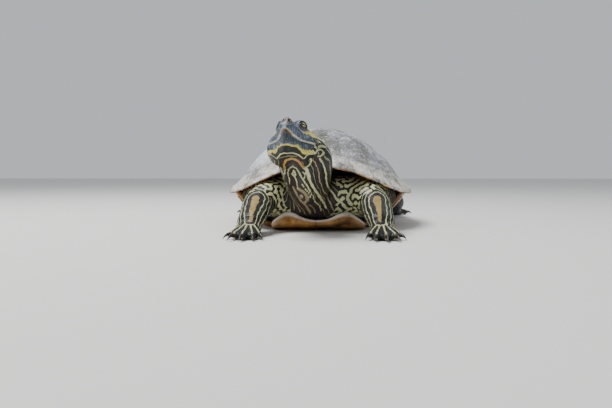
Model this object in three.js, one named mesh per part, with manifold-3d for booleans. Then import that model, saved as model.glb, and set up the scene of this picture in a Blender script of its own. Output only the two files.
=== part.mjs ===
// A red-eared slider turtle at life size, lying on its plastron with its head raised and turned
// a little to its right. Millimetres, +Z up, nose towards -Y, the animal's left at +X.
// The shell is a dome and a plate parted into scutes by thin cuts. The flesh is a set of swept
// bodies that meet with a thin gap, and each claw and eyeball is a piece of its own.
import * as THREE from "three";
import { mergeVertices } from "three/addons/utils/BufferGeometryUtils.js";
import Module from "manifold-3d";

const wasm = await Module();
wasm.setup();

// ---------------------------------------------------------------- driving dimensions
const GAP = 0.3; // between pieces that meet
const SHELL_LENGTH = 200;
const SHELL_WIDTH = 154;
const SHELL_TOP = 80;
const RIM_AT_SIDE = 28;
const RIM_AT_NECK = 48;
const RIM_AT_TAIL = 31;
const SHELL_THICKNESS = 4.5;
const PLASTRON_THICKNESS = 4.5;
const HEAD_LENGTH = 37; // beak tip to nape
const EYE_RADIUS = 4.2;
const BEAK_TIP = new THREE.Vector3(-18, -147, 69.5);
const HEAD_PITCH = 28; // degrees, nose up
const HEAD_YAW = 10; // degrees, towards the animal's right
const SIDES = { l: 1, r: -1 };

// ---------------------------------------------------------------- shared tools

// A smooth curve through [position, value] knots.
function through(knots) {
  const slope = (i) => {
    const a = knots[Math.max(i - 1, 0)];
    const b = knots[Math.min(i + 1, knots.length - 1)];
    return (b[1] - a[1]) / (b[0] - a[0]);
  };
  return (x) => {
    const last = knots.length - 1;
    if (x <= knots[0][0]) return knots[0][1];
    if (x >= knots[last][0]) return knots[last][1];
    const i = knots.findIndex((k) => k[0] > x) - 1;
    const width = knots[i + 1][0] - knots[i][0];
    const s = (x - knots[i][0]) / width;
    const bend = s * (1 - s);
    const ease = s * s * (3 - 2 * s);
    return (
      THREE.MathUtils.lerp(knots[i][1], knots[i + 1][1], ease) +
      width * bend * ((1 - s) * slope(i) - s * slope(i + 1))
    );
  };
}

function solidOf(geometry) {
  const bare = geometry.clone();
  bare.deleteAttribute("normal");
  bare.deleteAttribute("uv");
  const merged = mergeVertices(bare, 1e-3);
  return new wasm.Manifold(
    new wasm.Mesh({
      numProp: 3,
      vertProperties: merged.attributes.position.array,
      triVerts: new Uint32Array(merged.index.array),
    }),
  );
}

// Cuts can leave crumbs: the piece is the largest body.
function largest(solid) {
  return solid.decompose().reduce((a, b) => (b.volume() > a.volume() ? b : a));
}

const without = (solid, ...cutters) => cutters.reduce((left, c) => left.subtract(c), solid);
const joined = (...solids) => solids.reduce((sum, s) => sum.add(s));

function moved(solid, matrix) {
  return solid.transform(matrix.elements);
}

// A ball whose rings and columns are laid out again by place(column 0..1, ring 0..1).
function ballMap(around, along, place) {
  const ball = new THREE.SphereGeometry(1, around, along);
  const position = ball.attributes.position;
  for (let k = 0; k < position.count; k++) {
    const column = (k % (around + 1)) % around;
    const ring = Math.floor(k / (around + 1));
    const pole = ring === 0 || ring === along;
    position.setXYZ(k, ...place(pole ? 0 : column / around, ring / along, ring).toArray());
  }
  return solidOf(ball);
}

const rounded = (value, power) => Math.sign(value) * Math.abs(value) ** power;

// A closed body along a path. section(t) gives half (width), top, bottom, and optionally
// square (superellipse power) and narrow (how much the top is narrower than the middle).
function sweep({
  path,
  up,
  section,
  caps = [0.1, 0.1],
  around = 14,
  along = 12,
  grow = 0,
  shape = (point) => point,
}) {
  const curve = new THREE.CatmullRomCurve3(path.map((p) => new THREE.Vector3(...p)));
  const hint = new THREE.Vector3(...up);
  return ballMap(around, along, (column, ring) => {
    const t = (1 - Math.cos(Math.PI * ring)) / 2;
    const forward = curve.getTangentAt(t);
    const left = hint.clone().cross(forward).normalize();
    const top = forward.clone().cross(left);
    const { half, top: high, bottom: low, square = 2, narrow = 0 } = section(t);
    const start = Math.min(1, t / caps[0]);
    const end = Math.min(1, (1 - t) / caps[1]);
    const round = Math.sqrt((1 - (1 - start) ** 2) * (1 - (1 - end) ** 2));
    const angle = 2 * Math.PI * column;
    const across = rounded(-Math.cos(angle), 2 / square);
    const upward = rounded(Math.sin(angle), 2 / square);
    const height = upward > 0 ? high : low;
    const slim = 1 - narrow * Math.max(0, upward);
    const point = curve
      .getPointAt(t)
      .addScaledVector(left, across * round * (half * slim + grow))
      .addScaledVector(top, upward * round * (height + grow))
      .addScaledVector(forward, (ring - 0.5) * 2 * grow);
    return shape(point);
  });
}

// A wall of the given width that stands on a polyline of [x, y] points.
function blade(points, low, high, width = GAP) {
  const side = (sign) =>
    points.map((p, i) => {
      const a = points[Math.max(i - 1, 0)];
      const b = points[Math.min(i + 1, points.length - 1)];
      const run = Math.hypot(b[0] - a[0], b[1] - a[1]);
      const reach = (sign * width) / 2 / run;
      return new THREE.Vector2(p[0] - (b[1] - a[1]) * reach, p[1] + (b[0] - a[0]) * reach);
    });
  const outline = new THREE.Shape([...side(-1), ...side(1).reverse()]);
  const wall = new THREE.ExtrudeGeometry(outline, { depth: high - low, bevelEnabled: false });
  return solidOf(wall.translate(0, 0, low));
}

function boxSolid(low, high) {
  const size = high.map((v, i) => v - low[i]);
  const box = new THREE.BoxGeometry(...size);
  return solidOf(box.translate(...low.map((v, i) => v + size[i] / 2)));
}

const belowFloor = boxSolid([-300, -300, -60], [300, 300, 0]);
const mirrored = (side, points) => points.map(([x, ...rest]) => [x * side, ...rest]);

// ---------------------------------------------------------------- materials
const finish = (color, roughness) =>
  new THREE.MeshStandardMaterial({ color, roughness, metalness: 0 });
const materials = {
  carapace: finish(0x8a8780, 0.5),
  plastron: finish(0xc08a48, 0.5),
  skin: finish(0x4d5237, 0.6),
  claw: finish(0x2b2824, 0.35),
  eye: finish(0xb9a648, 0.08),
};

const model = new THREE.Group();
function show(name, material, solid) {
  const { vertProperties, triVerts, numProp } = solid.getMesh();
  const places = new Float32Array((vertProperties.length / numProp) * 3);
  for (let i = 0; i * 3 < places.length; i++)
    places.set(vertProperties.subarray(i * numProp, i * numProp + 3), i * 3);
  const geometry = new THREE.BufferGeometry()
    .setAttribute("position", new THREE.BufferAttribute(places, 3))
    .setIndex(new THREE.BufferAttribute(triVerts, 1));
  geometry.computeVertexNormals();
  const mesh = new THREE.Mesh(geometry, material);
  mesh.name = name;
  model.add(mesh);
}

// ---------------------------------------------------------------- carapace
// The dome is described by rho, 0 at the top and 1 at the rim, and bearing, 0 at the neck.
const MARGINAL_RHO = 0.83; // where the ring of marginal scutes begins
const FLARE_RHO = 0.9;
const FLARE_SHARE = 0.14; // share of the dome's rise that lies in the flared rim
const RIM_CURL = 7; // how far the rim turns up beside the hind legs
const CURL_RHO = 0.86;
const CURL_MIDDLE = 125; // bearing in degrees, and how far the curl reaches to each side of it
const CURL_SPREAD = 38;
const WALL_LEAN = 1.1; // how much further in than down the inside of the dome lies

function rim(bearing) {
  const sine = Math.sin(bearing);
  const swell = 1 - 0.06 * Math.cos(bearing); // wider behind the middle
  return [
    (SHELL_WIDTH / 2) * rounded(sine, 0.88) * swell,
    (-SHELL_LENGTH / 2) * Math.cos(bearing),
  ];
}

function rimHeight(bearing) {
  const ahead = Math.cos(bearing);
  const neck = (RIM_AT_NECK - RIM_AT_SIDE) * Math.max(0, ahead) ** 4.2;
  return RIM_AT_SIDE + neck + (RIM_AT_TAIL - RIM_AT_SIDE) * Math.max(0, -ahead) ** 4;
}

function rise(rho) {
  if (rho > FLARE_RHO) return (FLARE_SHARE * (1 - rho)) / (1 - FLARE_RHO);
  return 1 - (1 - FLARE_SHARE) * (rho / FLARE_RHO) ** 2.2;
}

function rimCurl(rho, bearing) {
  const turned = THREE.MathUtils.euclideanModulo(bearing + Math.PI, 2 * Math.PI) - Math.PI;
  const off = (Math.abs(THREE.MathUtils.radToDeg(turned)) - CURL_MIDDLE) / CURL_SPREAD;
  const outward = THREE.MathUtils.smoothstep(rho, CURL_RHO, 1) ** 1.5;
  return RIM_CURL * Math.max(0, 1 - off ** 2) ** 2 * outward;
}

function domePoint(rho, bearing, inset = 0) {
  const [x, y] = rim(bearing);
  const scale = 1 - (inset * WALL_LEAN) / (SHELL_WIDTH / 2);
  const base = rimHeight(bearing);
  const height = base + (SHELL_TOP - base) * rise(rho) + rimCurl(rho, bearing) - inset;
  return new THREE.Vector3(x * rho * scale, y * rho * scale, height);
}

// Rings from the top down the outside, round the blunt edge, and back up the inside.
const OUTER_RHO = [0, 0.3, 0.5, 0.66, 0.78, 0.87, 0.94, 1];
const INNER_RHO = [0.97, 0.76, 0.42, 0];
const RIM_EDGE = 1.6; // height of the blunt edge

function carapaceSolid(grow, around = 36) {
  const outer = OUTER_RHO.length;
  return ballMap(around, outer + INNER_RHO.length, (column, _, ring) => {
    const bearing = 2 * Math.PI * column - Math.PI / 2;
    if (ring < outer) return domePoint(OUTER_RHO[ring], bearing, -grow);
    const edge = domePoint(1, bearing, -grow);
    if (ring === outer) return edge.setZ(edge.z - RIM_EDGE - 2 * grow);
    return domePoint(INNER_RHO[ring - outer - 1], bearing, SHELL_THICKNESS + grow);
  });
}

const onRing = (degrees, rho = MARGINAL_RHO) => {
  const [x, y] = rim(THREE.MathUtils.degToRad(degrees));
  return [x * rho, y * rho];
};
const VERTEBRAL_SEAMS = [
  [15, -52],
  [16, -14],
  [16, 24],
  [14, 58],
];
const COSTAL_CORNERS = [
  [23, -33, 62],
  [24, 5, 93],
  [21, 41, 128],
]; // x, y and the bearing at which the seam meets the marginals
const VERTEBRAL_FRONT = 14; // bearings where the vertebral row meets the marginals
const VERTEBRAL_REAR = 159;
const NUCHAL_HALF = 5;

function carapaceSeams() {
  const [low, high] = [0, SHELL_TOP + 5];
  const ring = [];
  for (let degrees = -180; degrees <= 180; degrees += 10) ring.push(onRing(degrees));
  const lines = [ring, [onRing(180, 0.8), onRing(180, 1.05)]];
  VERTEBRAL_SEAMS.forEach(([half, y]) => lines.push([[-half, y], [half, y]]));
  for (const side of Object.values(SIDES)) {
    const zigzag = [onRing(VERTEBRAL_FRONT)];
    VERTEBRAL_SEAMS.forEach((seam, i) => {
      zigzag.push(seam);
      if (i < COSTAL_CORNERS.length) zigzag.push(COSTAL_CORNERS[i].slice(0, 2));
    });
    zigzag.push(onRing(VERTEBRAL_REAR));
    lines.push(mirrored(side, zigzag));
    for (const [x, y, bearing] of COSTAL_CORNERS)
      lines.push(mirrored(side, [[x, y], onRing(bearing)]));
    lines.push(mirrored(side, [onRing(NUCHAL_HALF, 0.8), onRing(NUCHAL_HALF, 1.05)]));
  }
  return lines.map((line) => blade(line, low, high));
}

const SMALLEST_PLATE = 50; // cubic millimetres
const middle = (solid) => {
  const { min, max } = solid.boundingBox();
  return [(min[0] + max[0]) / 2, (min[1] + max[1]) / 2];
};
const byLength = (a, b) => middle(a)[1] - middle(b)[1];
const platesOf = (solid, seams) =>
  without(solid, ...seams)
    .decompose()
    .filter((plate) => plate.volume() > SMALLEST_PLATE);

function buildCarapace() {
  const plates = platesOf(carapaceSolid(0), carapaceSeams());
  const isRing = (plate) => plate.boundingBox().max[1] > SHELL_LENGTH / 2 - 5;
  const ringLeft = plates.find((p) => isRing(p) && middle(p)[0] > 0);
  const ringRight = plates.find((p) => isRing(p) && middle(p)[0] < 0);
  show("marginals_l", materials.carapace, ringLeft);
  show("marginals_r", materials.carapace, ringRight);
  const others = plates.filter((p) => p !== ringLeft && p !== ringRight);
  const centre = others.filter((p) => Math.abs(middle(p)[0]) < 5).sort(byLength);
  show("nuchal", materials.carapace, centre.shift());
  centre.forEach((p, i) => show(`vertebral_${i + 1}`, materials.carapace, p));
  for (const [tag, side] of Object.entries(SIDES))
    others
      .filter((p) => middle(p)[0] * side > 10)
      .sort(byLength)
      .forEach((p, i) => show(`costal_${tag}${i + 1}`, materials.carapace, p));
}

// ---------------------------------------------------------------- plastron
// Radius of the plate's outline by bearing in degrees: front lobe, bridge wing, rear lobe.
const plastronRadius = through([
  [0, 84],
  [10, 87],
  [22, 84],
  [32, 68],
  [40, 57],
  [60, 76],
  [74, 72.6],
  [90, 72],
  [105, 74.2],
  [119, 78.5],
  [136, 60],
  [147, 70],
  [160, 83],
  [173, 88],
  [180, 84],
]);
const BRIDGE_START = 44;
const BRIDGE_END = 72;
const BRIDGE_RISE = 25;
const BRIDGE_HALF = 42; // the bridges follow the rim within this distance of the middle
const LIP_START = 56; // the front lobe turns up from here to its edge
const LIP_LENGTH = 31;
const LIP_RISE = 5;
const HORN_AT = 22.5; // the two thick corners beside the throat: where, how wide, how high
const HORN_WIDTH = 10;
const HORN_RISE = 7.5;

const lipShare = (y) => (Math.max(0, -y - LIP_START) / LIP_LENGTH) ** 1.6;

function plastronUnder(x, y) {
  const along = THREE.MathUtils.clamp(y, -BRIDGE_HALF, BRIDGE_HALF);
  const [rimHalf] = rim(Math.acos((-2 * along) / SHELL_LENGTH));
  const out = (Math.abs(x) * SHELL_WIDTH) / 2 / rimHalf;
  const wing = Math.max(0, out - BRIDGE_START) / (BRIDGE_END - BRIDGE_START);
  return BRIDGE_RISE * wing ** 1.4 + LIP_RISE * lipShare(y);
}

function plastronOver(x, y) {
  const horn = Math.exp(-(((Math.abs(x) - HORN_AT) / HORN_WIDTH) ** 2));
  return plastronUnder(x, y) + PLASTRON_THICKNESS + HORN_RISE * horn * lipShare(y);
}

// Rings from the middle out over the top, down the blunt edge, and back in underneath.
const PLASTRON_SHARES = [0, 0.3, 0.6, 0.86, 1];

function plastronSolid(grow, around = 34) {
  const count = PLASTRON_SHARES.length;
  return ballMap(around, 2 * count - 1, (column, _, ring) => {
    const above = ring < count;
    const share = PLASTRON_SHARES[above ? ring : 2 * count - 1 - ring];
    const bearing = 2 * Math.PI * column - Math.PI / 2;
    const turned = THREE.MathUtils.euclideanModulo(bearing + Math.PI, 2 * Math.PI) - Math.PI;
    const radius = plastronRadius(Math.abs(THREE.MathUtils.radToDeg(turned)));
    const [x, y] = [Math.sin(bearing), -Math.cos(bearing)].map((v) => v * radius * share);
    const height = above ? plastronOver(x, y) + grow : plastronUnder(x, y) - grow;
    const out = 1 + grow / radius;
    return new THREE.Vector3(x * out, y * out, height);
  });
}

// Each seam's y at the middle and at the sides.
const PLASTRON_SEAMS = {
  gular: [-62, -74],
  humeral: [-45, -45],
  pectoral: [-14, -18],
  abdominal: [24, 20],
  femoral: [52, 60],
};

function buildPlastron(carapaceCut) {
  const whole = without(plastronSolid(0), carapaceCut);
  const seams = Object.values(PLASTRON_SEAMS).map(([y, atSide]) =>
    blade([[-SHELL_WIDTH / 2, atSide], [0, y], [SHELL_WIDTH / 2, atSide]], -5, SHELL_TOP),
  );
  const names = [...Object.keys(PLASTRON_SEAMS), "anal"];
  platesOf(whole, seams)
    .sort(byLength)
    .forEach((plate, i) => show(`plastron_${names[i]}`, materials.plastron, plate));
}

// ---------------------------------------------------------------- head
// The head's own frame: x to its left, -y forward, z up, origin at the beak's tip on the
// line of the mouth. Profiles are by distance behind the tip.
const headPlace = new THREE.Matrix4().compose(
  BEAK_TIP,
  new THREE.Quaternion().setFromEuler(
    new THREE.Euler(
      THREE.MathUtils.degToRad(-HEAD_PITCH),
      0,
      THREE.MathUtils.degToRad(-HEAD_YAW),
      "ZXY",
    ),
  ),
  new THREE.Vector3(1, 1, 1),
);
const headHalf = through([
  [-1, 5.2],
  [2, 6.2],
  [6, 8.6],
  [12, 11.6],
  [18, 15.4],
  [24, 17.4],
  [30, 17.6],
  [37, 15],
]);
const headTop = through([
  [-1, 9.6],
  [2, 10.8],
  [6, 11.2],
  [12, 12.6],
  [18, 15],
  [24, 16.4],
  [30, 16.4],
  [37, 13],
]);
const headBottom = through([
  [-1, 2.6],
  [2, 5.4],
  [6, 7.2],
  [12, 8.6],
  [20, 10.2],
  [30, 12],
  [37, 12.6],
]);
const headNarrow = through([
  [-1, 0.25],
  [6, 0.42],
  [12, 0.36],
  [17, 0.14],
  [24, 0.06],
  [37, 0.05],
]);
// How much narrower the head is at the mouth than above it.
const jawShare = through([
  [-1, 0.32],
  [2, 0.4],
  [8, 0.6],
  [12.5, 0.7],
  [15.5, 0.86],
  [19, 1],
  [24, 1],
]);
const PINCH_BELOW = 5; // the head draws in from this height down to the mouth
const PINCH_FULL = -0.5;
const SNOUT = 1; // the nose stands this far ahead of the beak's tip
const EYE_CENTRE = [5.6, 14, 10.3];
const EYE_LOOK = new THREE.Vector3(0.74, -0.63, 0.08).normalize();
const LID_RADIUS = EYE_RADIUS + 1;
const LID_OPENING = 3.1;
const MOUTH_CORNER = 20;

function pinchJaws(point) {
  const { smoothstep } = THREE.MathUtils;
  const pinch = 1 - smoothstep(point.z, PINCH_FULL, PINCH_BELOW);
  point.x *= 1 - (1 - jawShare(point.y)) * pinch;
  return point;
}

function headSolid(grow) {
  return sweep({
    path: [
      [0, HEAD_LENGTH, 0],
      [0, HEAD_LENGTH / 2, 0],
      [0, -SNOUT, 0],
    ],
    up: [0, 0, 1],
    section: (t) => {
      const behind = HEAD_LENGTH - (HEAD_LENGTH + SNOUT) * t;
      return {
        half: headHalf(behind),
        top: headTop(behind),
        bottom: headBottom(behind),
        square: 2.2,
        narrow: headNarrow(behind),
      };
    },
    caps: [0.25, 0.07],
    around: 12,
    along: 13,
    grow,
    shape: pinchJaws,
  });
}

function eyeSolid(side, radius) {
  const ball = solidOf(new THREE.SphereGeometry(radius, 10, 6));
  return ball.translate([EYE_CENTRE[0] * side, EYE_CENTRE[1], EYE_CENTRE[2]]);
}

// The gap between the lids, from the eyeball's middle outwards.
function lidOpening(side) {
  const look = EYE_LOOK.clone().multiply(new THREE.Vector3(side, 1, 1));
  const turn = new THREE.Quaternion().setFromUnitVectors(new THREE.Vector3(0, 1, 0), look);
  const slot = new THREE.CylinderGeometry(LID_OPENING, LID_OPENING, 10, 9);
  slot.translate(0, 5, 0).applyQuaternion(turn);
  return solidOf(slot.translate(EYE_CENTRE[0] * side, EYE_CENTRE[1], EYE_CENTRE[2]));
}

// The mouth's line in side view, from ahead of the beak to the corner and down behind the jaw.
function mouthBlade() {
  const line = [
    [-6, 0.6],
    [0, 0],
    [8, -0.8],
    [15, -0.4],
    [MOUTH_CORNER, 0.4],
    [24, -4],
    [27, -20],
  ];
  const wall = blade(line, -30, 30);
  // Stand the wall's outline up: its x is distance behind the tip, its y is height.
  return moved(wall, new THREE.Matrix4().set(0, 0, 1, 0, 1, 0, 0, 0, 0, 1, 0, 0, 0, 0, 0, 1));
}

function buildHead() {
  const { l, r } = SIDES;
  const lids = [l, r].map((side) => eyeSolid(side, LID_RADIUS));
  const sockets = [l, r].flatMap((side) => [
    eyeSolid(side, EYE_RADIUS + GAP),
    lidOpening(side),
  ]);
  const parts = without(joined(headSolid(0), ...lids), ...sockets, mouthBlade())
    .decompose()
    .sort((a, b) => b.volume() - a.volume());
  show("head", materials.skin, moved(parts[0], headPlace));
  show("lower_jaw", materials.skin, moved(parts[1], headPlace));
  for (const [tag, side] of Object.entries(SIDES))
    show(`eye_${tag}`, materials.eye, moved(eyeSolid(side, EYE_RADIUS), headPlace));
  return moved(headSolid(GAP), headPlace);
}

// ---------------------------------------------------------------- neck
function neckSolid(grow) {
  return sweep({
    path: [
      [0, -50, 26],
      [-3, -78, 25.5],
      [-6, -97, 34],
      [-6.5, -111, 47],
      [-9, -120, 56.5],
    ],
    up: [0, 1, 1],
    section: (t) => ({
      half: through([[0, 16], [0.33, 15], [0.55, 14.8], [0.86, 18.2], [1, 17.4]])(t),
      top: through([[0, 13], [0.44, 12.5], [0.77, 14.5], [1, 16]])(t),
      bottom: through([[0, 13], [0.44, 13.5], [0.77, 14], [1, 12]])(t),
    }),
    caps: [0.1, 0.16],
    around: 12,
    along: 9,
    grow,
  });
}

// ---------------------------------------------------------------- legs
const FORELEG = {
  path: [
    [8, -56, 24],
    [23, -72, 25],
    [34, -82, 25],
    [41, -92, 21],
    [43, -107, 14],
    [44, -123, 8.5],
  ],
  half: through([[0, 15], [0.3, 15], [0.55, 11.6], [0.75, 10.2], [1, 8.8]]),
  thick: through([[0, 13], [0.3, 14], [0.55, 11], [0.75, 8.4], [1, 6]]),
  up: [0.15, -0.35, 1],
};
const HINDLEG = {
  path: [
    [14, 56, 24],
    [36, 62, 25],
    [55, 60, 22],
    [66, 66, 16],
    [67, 82, 11],
    [66, 95, 8],
  ],
  half: through([[0, 15], [0.3, 15], [0.55, 13], [0.8, 10], [1, 8]]),
  thick: through([[0, 12], [0.3, 13], [0.55, 11], [0.8, 8], [1, 5.6]]),
  up: [0.2, 0.2, 1],
};

function legSolid(leg, side, grow) {
  return sweep({
    path: mirrored(side, leg.path),
    up: [leg.up[0] * side, leg.up[1], leg.up[2]],
    section: (t) => ({ half: leg.half(t), top: leg.thick(t), bottom: leg.thick(t) }),
    caps: [0.12, 0.08],
    around: 10,
    along: 10,
    grow,
  });
}

// ---------------------------------------------------------------- feet and claws
// A foot is a flat palm with toes that fan out from it, joined by a web. Its frame has the
// wrist at the origin, -y along the foot and z up; heading turns it outwards.
const FOREFOOT = {
  wrist: [44, -120, 8.5],
  heading: 3,
  palmLength: 18,
  palmHalf: 9,
  palmThick: 4.8,
  webReach: 0.68,
  toeAngles: [-30, -15, 0, 15, 31],
  toeLengths: [19, 24, 26, 24, 19],
  toeRadius: 2.4,
  clawLengths: [6.6, 8.2, 8.6, 8.2, 6.6],
};
const HINDFOOT = {
  wrist: [66, 91, 8],
  heading: 155,
  palmLength: 24,
  palmHalf: 9.5,
  palmThick: 4.4,
  webReach: 0.88,
  toeAngles: [-30, -13, 4, 21],
  toeLengths: [24, 29, 31, 29],
  toeRadius: 2.4,
  clawLengths: [6, 6.5, 6.5, 5.6],
};
const CLAW_ROOT = 3; // length of claw inside the toe
const CLAW_RADIUS = 1.6;

function footPlace(foot, side) {
  const turn = THREE.MathUtils.degToRad(foot.heading) * side;
  return new THREE.Matrix4()
    .makeRotationZ(turn)
    .setPosition(foot.wrist[0] * side, foot.wrist[1], 0);
}

// A point along a toe, in the foot's frame, at a height above the floor.
function alongToe(foot, toe, side, distance, height) {
  const angle = THREE.MathUtils.degToRad(foot.toeAngles[toe]) * side;
  return [Math.sin(angle) * distance, -Math.cos(angle) * distance, height];
}

function toeSolid(foot, toe, side, grow = 0) {
  const reach = foot.toeLengths[toe];
  const r = foot.toeRadius;
  return sweep({
    path: [
      alongToe(foot, toe, side, reach * 0.35, r + 2),
      alongToe(foot, toe, side, reach * 0.75, r + 1.2),
      alongToe(foot, toe, side, reach, r - 0.1),
    ],
    up: [0, 0, 1],
    section: (t) => ({ half: r * (1.1 - 0.2 * t), top: r, bottom: r }),
    caps: [0.15, 0.15],
    around: 5,
    along: 3,
    grow,
  });
}

function clawSolid(foot, toe, side) {
  const reach = foot.toeLengths[toe];
  const long = foot.clawLengths[toe];
  const taper = (t) => Math.max(0.25, CLAW_RADIUS * (1 - t ** 1.6));
  return sweep({
    path: [
      alongToe(foot, toe, side, reach - CLAW_ROOT, 3.1),
      alongToe(foot, toe, side, reach + long * 0.45, 2.9),
      alongToe(foot, toe, side, reach + long, 0.7),
    ],
    up: [0, 0, 1],
    section: (t) => ({ half: taper(t) * 0.85, top: taper(t), bottom: taper(t) }),
    caps: [0.1, 0.1],
    around: 5,
    along: 3,
  });
}

function palmSolid(foot, grow) {
  const { palmLength, palmHalf, palmThick } = foot;
  return sweep({
    path: [
      [0, 5, foot.wrist[2]],
      [0, -palmLength * 0.4, 5],
      [0, -palmLength, 3.4],
    ],
    up: [0, 0, 1],
    section: (t) => ({
      half: palmHalf * (0.82 + 0.3 * t),
      top: palmThick * (1.1 - 0.45 * t),
      bottom: palmThick * (1.1 - 0.2 * t),
      square: 2.4,
    }),
    caps: [0.25, 0.25],
    around: 8,
    along: 5,
    grow,
  });
}

// The web is a thin fan between the toes.
function webSolid(foot, side) {
  const points = foot.toeAngles.map((_, toe) =>
    alongToe(foot, toe, side, foot.toeLengths[toe] * foot.webReach, 0).slice(0, 2),
  );
  const half = foot.palmHalf * 0.5 * side;
  const outline = new THREE.Shape([[-half, -2], ...points, [half, -2]].map(
    (p) => new THREE.Vector2(...p),
  ));
  const fan = new THREE.ExtrudeGeometry(outline, { depth: 1.8, bevelEnabled: false });
  return solidOf(fan.translate(0, 0, 1.6));
}

function footSolids(foot, side) {
  const place = footPlace(foot, side);
  const toes = foot.toeAngles.map((_, toe) => toeSolid(foot, toe, side));
  const whole = joined(palmSolid(foot, 0), webSolid(foot, side), ...toes);
  const claws = foot.toeAngles.map((_, toe) =>
    without(clawSolid(foot, toe, side), toeSolid(foot, toe, side, GAP)),
  );
  return [whole, ...claws].map((piece) =>
    largest(without(moved(piece, place), belowFloor)),
  );
}

function tailSolid(grow) {
  return sweep({
    path: [
      [0, 66, 22],
      [1, 84, 18],
      [5, 104, 10],
      [14, 121, 4],
      [22, 130, 2.2],
    ],
    up: [0, 0, 1],
    section: (t) => {
      const radius = through([[0, 12], [0.3, 9], [0.6, 5.4], [1, 1.8]])(t);
      return { half: radius, top: radius, bottom: radius };
    },
    caps: [0.1, 0.05],
    around: 8,
    along: 8,
    grow,
  });
}

// ---------------------------------------------------------------- trunk
// The body inside the shell, which shows round the neck, the legs and the tail.
const TRUNK_REACH = 0.84; // share of the shell's outline
const TRUNK_LEVEL = 22; // height of its widest line
const TRUNK_CLEAR = 1.5; // between the flesh and the shell
const TRUNK_DROP = 4; // further room under the middle of the dome
const CHORD = 1.08; // the shell's flat facets cut inside its curve by up to this share

function trunkSolid(grow) {
  return ballMap(18, 8, (column, ring) => {
    const bearing = 2 * Math.PI * column - Math.PI / 2;
    const polar = Math.PI * ring;
    const rho = Math.sin(polar) * TRUNK_REACH;
    const [x, y] = rim(bearing).map((v) => v * rho);
    const dome = domePoint(rho * CHORD, bearing, SHELL_THICKNESS).z;
    const roof = dome - TRUNK_CLEAR - TRUNK_DROP * (1 - rho);
    const bed = plastronOver(x * CHORD, y) + TRUNK_CLEAR;
    const wall = ring < 0.5 ? roof + grow : bed - grow;
    const share = Math.abs(Math.cos(polar)) ** 0.6;
    const out = 1 + (grow * CHORD) / (SHELL_WIDTH / 2);
    return new THREE.Vector3(x * out, y * out, THREE.MathUtils.lerp(TRUNK_LEVEL, wall, share));
  });
}

function buildFlesh(carapaceCut, plastronCut) {
  show("trunk", materials.skin, trunkSolid(0));
  const inner = [carapaceCut, plastronCut, trunkSolid(GAP)];
  const headCut = buildHead();
  show("neck", materials.skin, largest(without(neckSolid(0), headCut, ...inner)));
  show("tail", materials.skin, largest(without(tailSolid(0), ...inner, belowFloor)));
  const cutters = [neckSolid(GAP), tailSolid(GAP)];
  for (const [tag, side] of Object.entries(SIDES))
    for (const [kind, leg, foot] of [
      ["fore", FORELEG, FOREFOOT],
      ["hind", HINDLEG, HINDFOOT],
    ]) {
      const place = footPlace(foot, side);
      const [sole, ...claws] = footSolids(foot, side);
      const palmCut = moved(palmSolid(foot, GAP), place);
      const limb = without(legSolid(leg, side, 0), palmCut, ...cutters, ...inner, belowFloor);
      show(`${kind}leg_${tag}`, materials.skin, largest(limb));
      show(`${kind}foot_${tag}`, materials.skin, sole);
      claws.forEach((claw, i) =>
        show(`claw_${kind}_${tag}${i + 1}`, materials.claw, claw),
      );
      cutters.push(legSolid(leg, side, GAP));
    }
}

// ---------------------------------------------------------------- the whole animal
const carapaceCut = carapaceSolid(GAP);
buildCarapace();
buildPlastron(carapaceCut);
buildFlesh(carapaceCut, plastronSolid(GAP));

// The origin is under the middle of the whole, on the floor.
const box = new THREE.Box3().setFromObject(model);
model.position.set(-(box.min.x + box.max.x) / 2, -(box.min.y + box.max.y) / 2, -box.min.z);

export default model;
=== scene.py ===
import math

import bmesh
import bpy
import numpy as np
from mathutils import Matrix, Vector
from mathutils.bvhtree import BVHTree


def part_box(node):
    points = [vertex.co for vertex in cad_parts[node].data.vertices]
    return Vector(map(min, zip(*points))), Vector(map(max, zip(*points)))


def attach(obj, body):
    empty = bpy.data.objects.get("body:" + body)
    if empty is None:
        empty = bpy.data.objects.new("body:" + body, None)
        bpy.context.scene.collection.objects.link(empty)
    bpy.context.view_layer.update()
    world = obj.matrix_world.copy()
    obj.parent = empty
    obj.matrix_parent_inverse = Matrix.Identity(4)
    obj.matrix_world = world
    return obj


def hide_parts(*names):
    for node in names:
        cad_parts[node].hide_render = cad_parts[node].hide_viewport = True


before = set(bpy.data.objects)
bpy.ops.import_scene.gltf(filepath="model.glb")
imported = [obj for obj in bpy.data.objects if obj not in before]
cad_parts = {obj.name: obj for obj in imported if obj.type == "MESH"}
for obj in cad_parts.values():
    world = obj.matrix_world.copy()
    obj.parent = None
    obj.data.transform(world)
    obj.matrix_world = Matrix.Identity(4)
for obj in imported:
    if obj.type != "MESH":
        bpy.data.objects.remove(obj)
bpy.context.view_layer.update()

# ------------------------------------------------------------------ camera
# A pond turtle at life size lies on its plastron and looks up past the lens, which stands low
# and close in front of it. Every length below is in millimetres, from the floor under the middle
# of the shell, with x to the turtle's left, y backwards and z up.
MM = 0.001
SHELL_LENGTH = 200
TO_FRAME = Vector((0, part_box("marginals_l")[1].y - SHELL_LENGTH / 2 * MM, 0))

CAMERA_DISTANCE = 530
CAMERA_AZIMUTH = math.radians(3)
CAMERA_HEIGHT = 43
CAMERA_PITCH = math.radians(2.9)
CAMERA_LEFT = 12.4  # the lens stands this far to the left of the line to the shell's middle
FOCAL_PIXELS, IMAGE_WIDTH = 617.5, 612  # the lens's focal length, in pixels of an image this wide
SENSOR = 36

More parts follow.
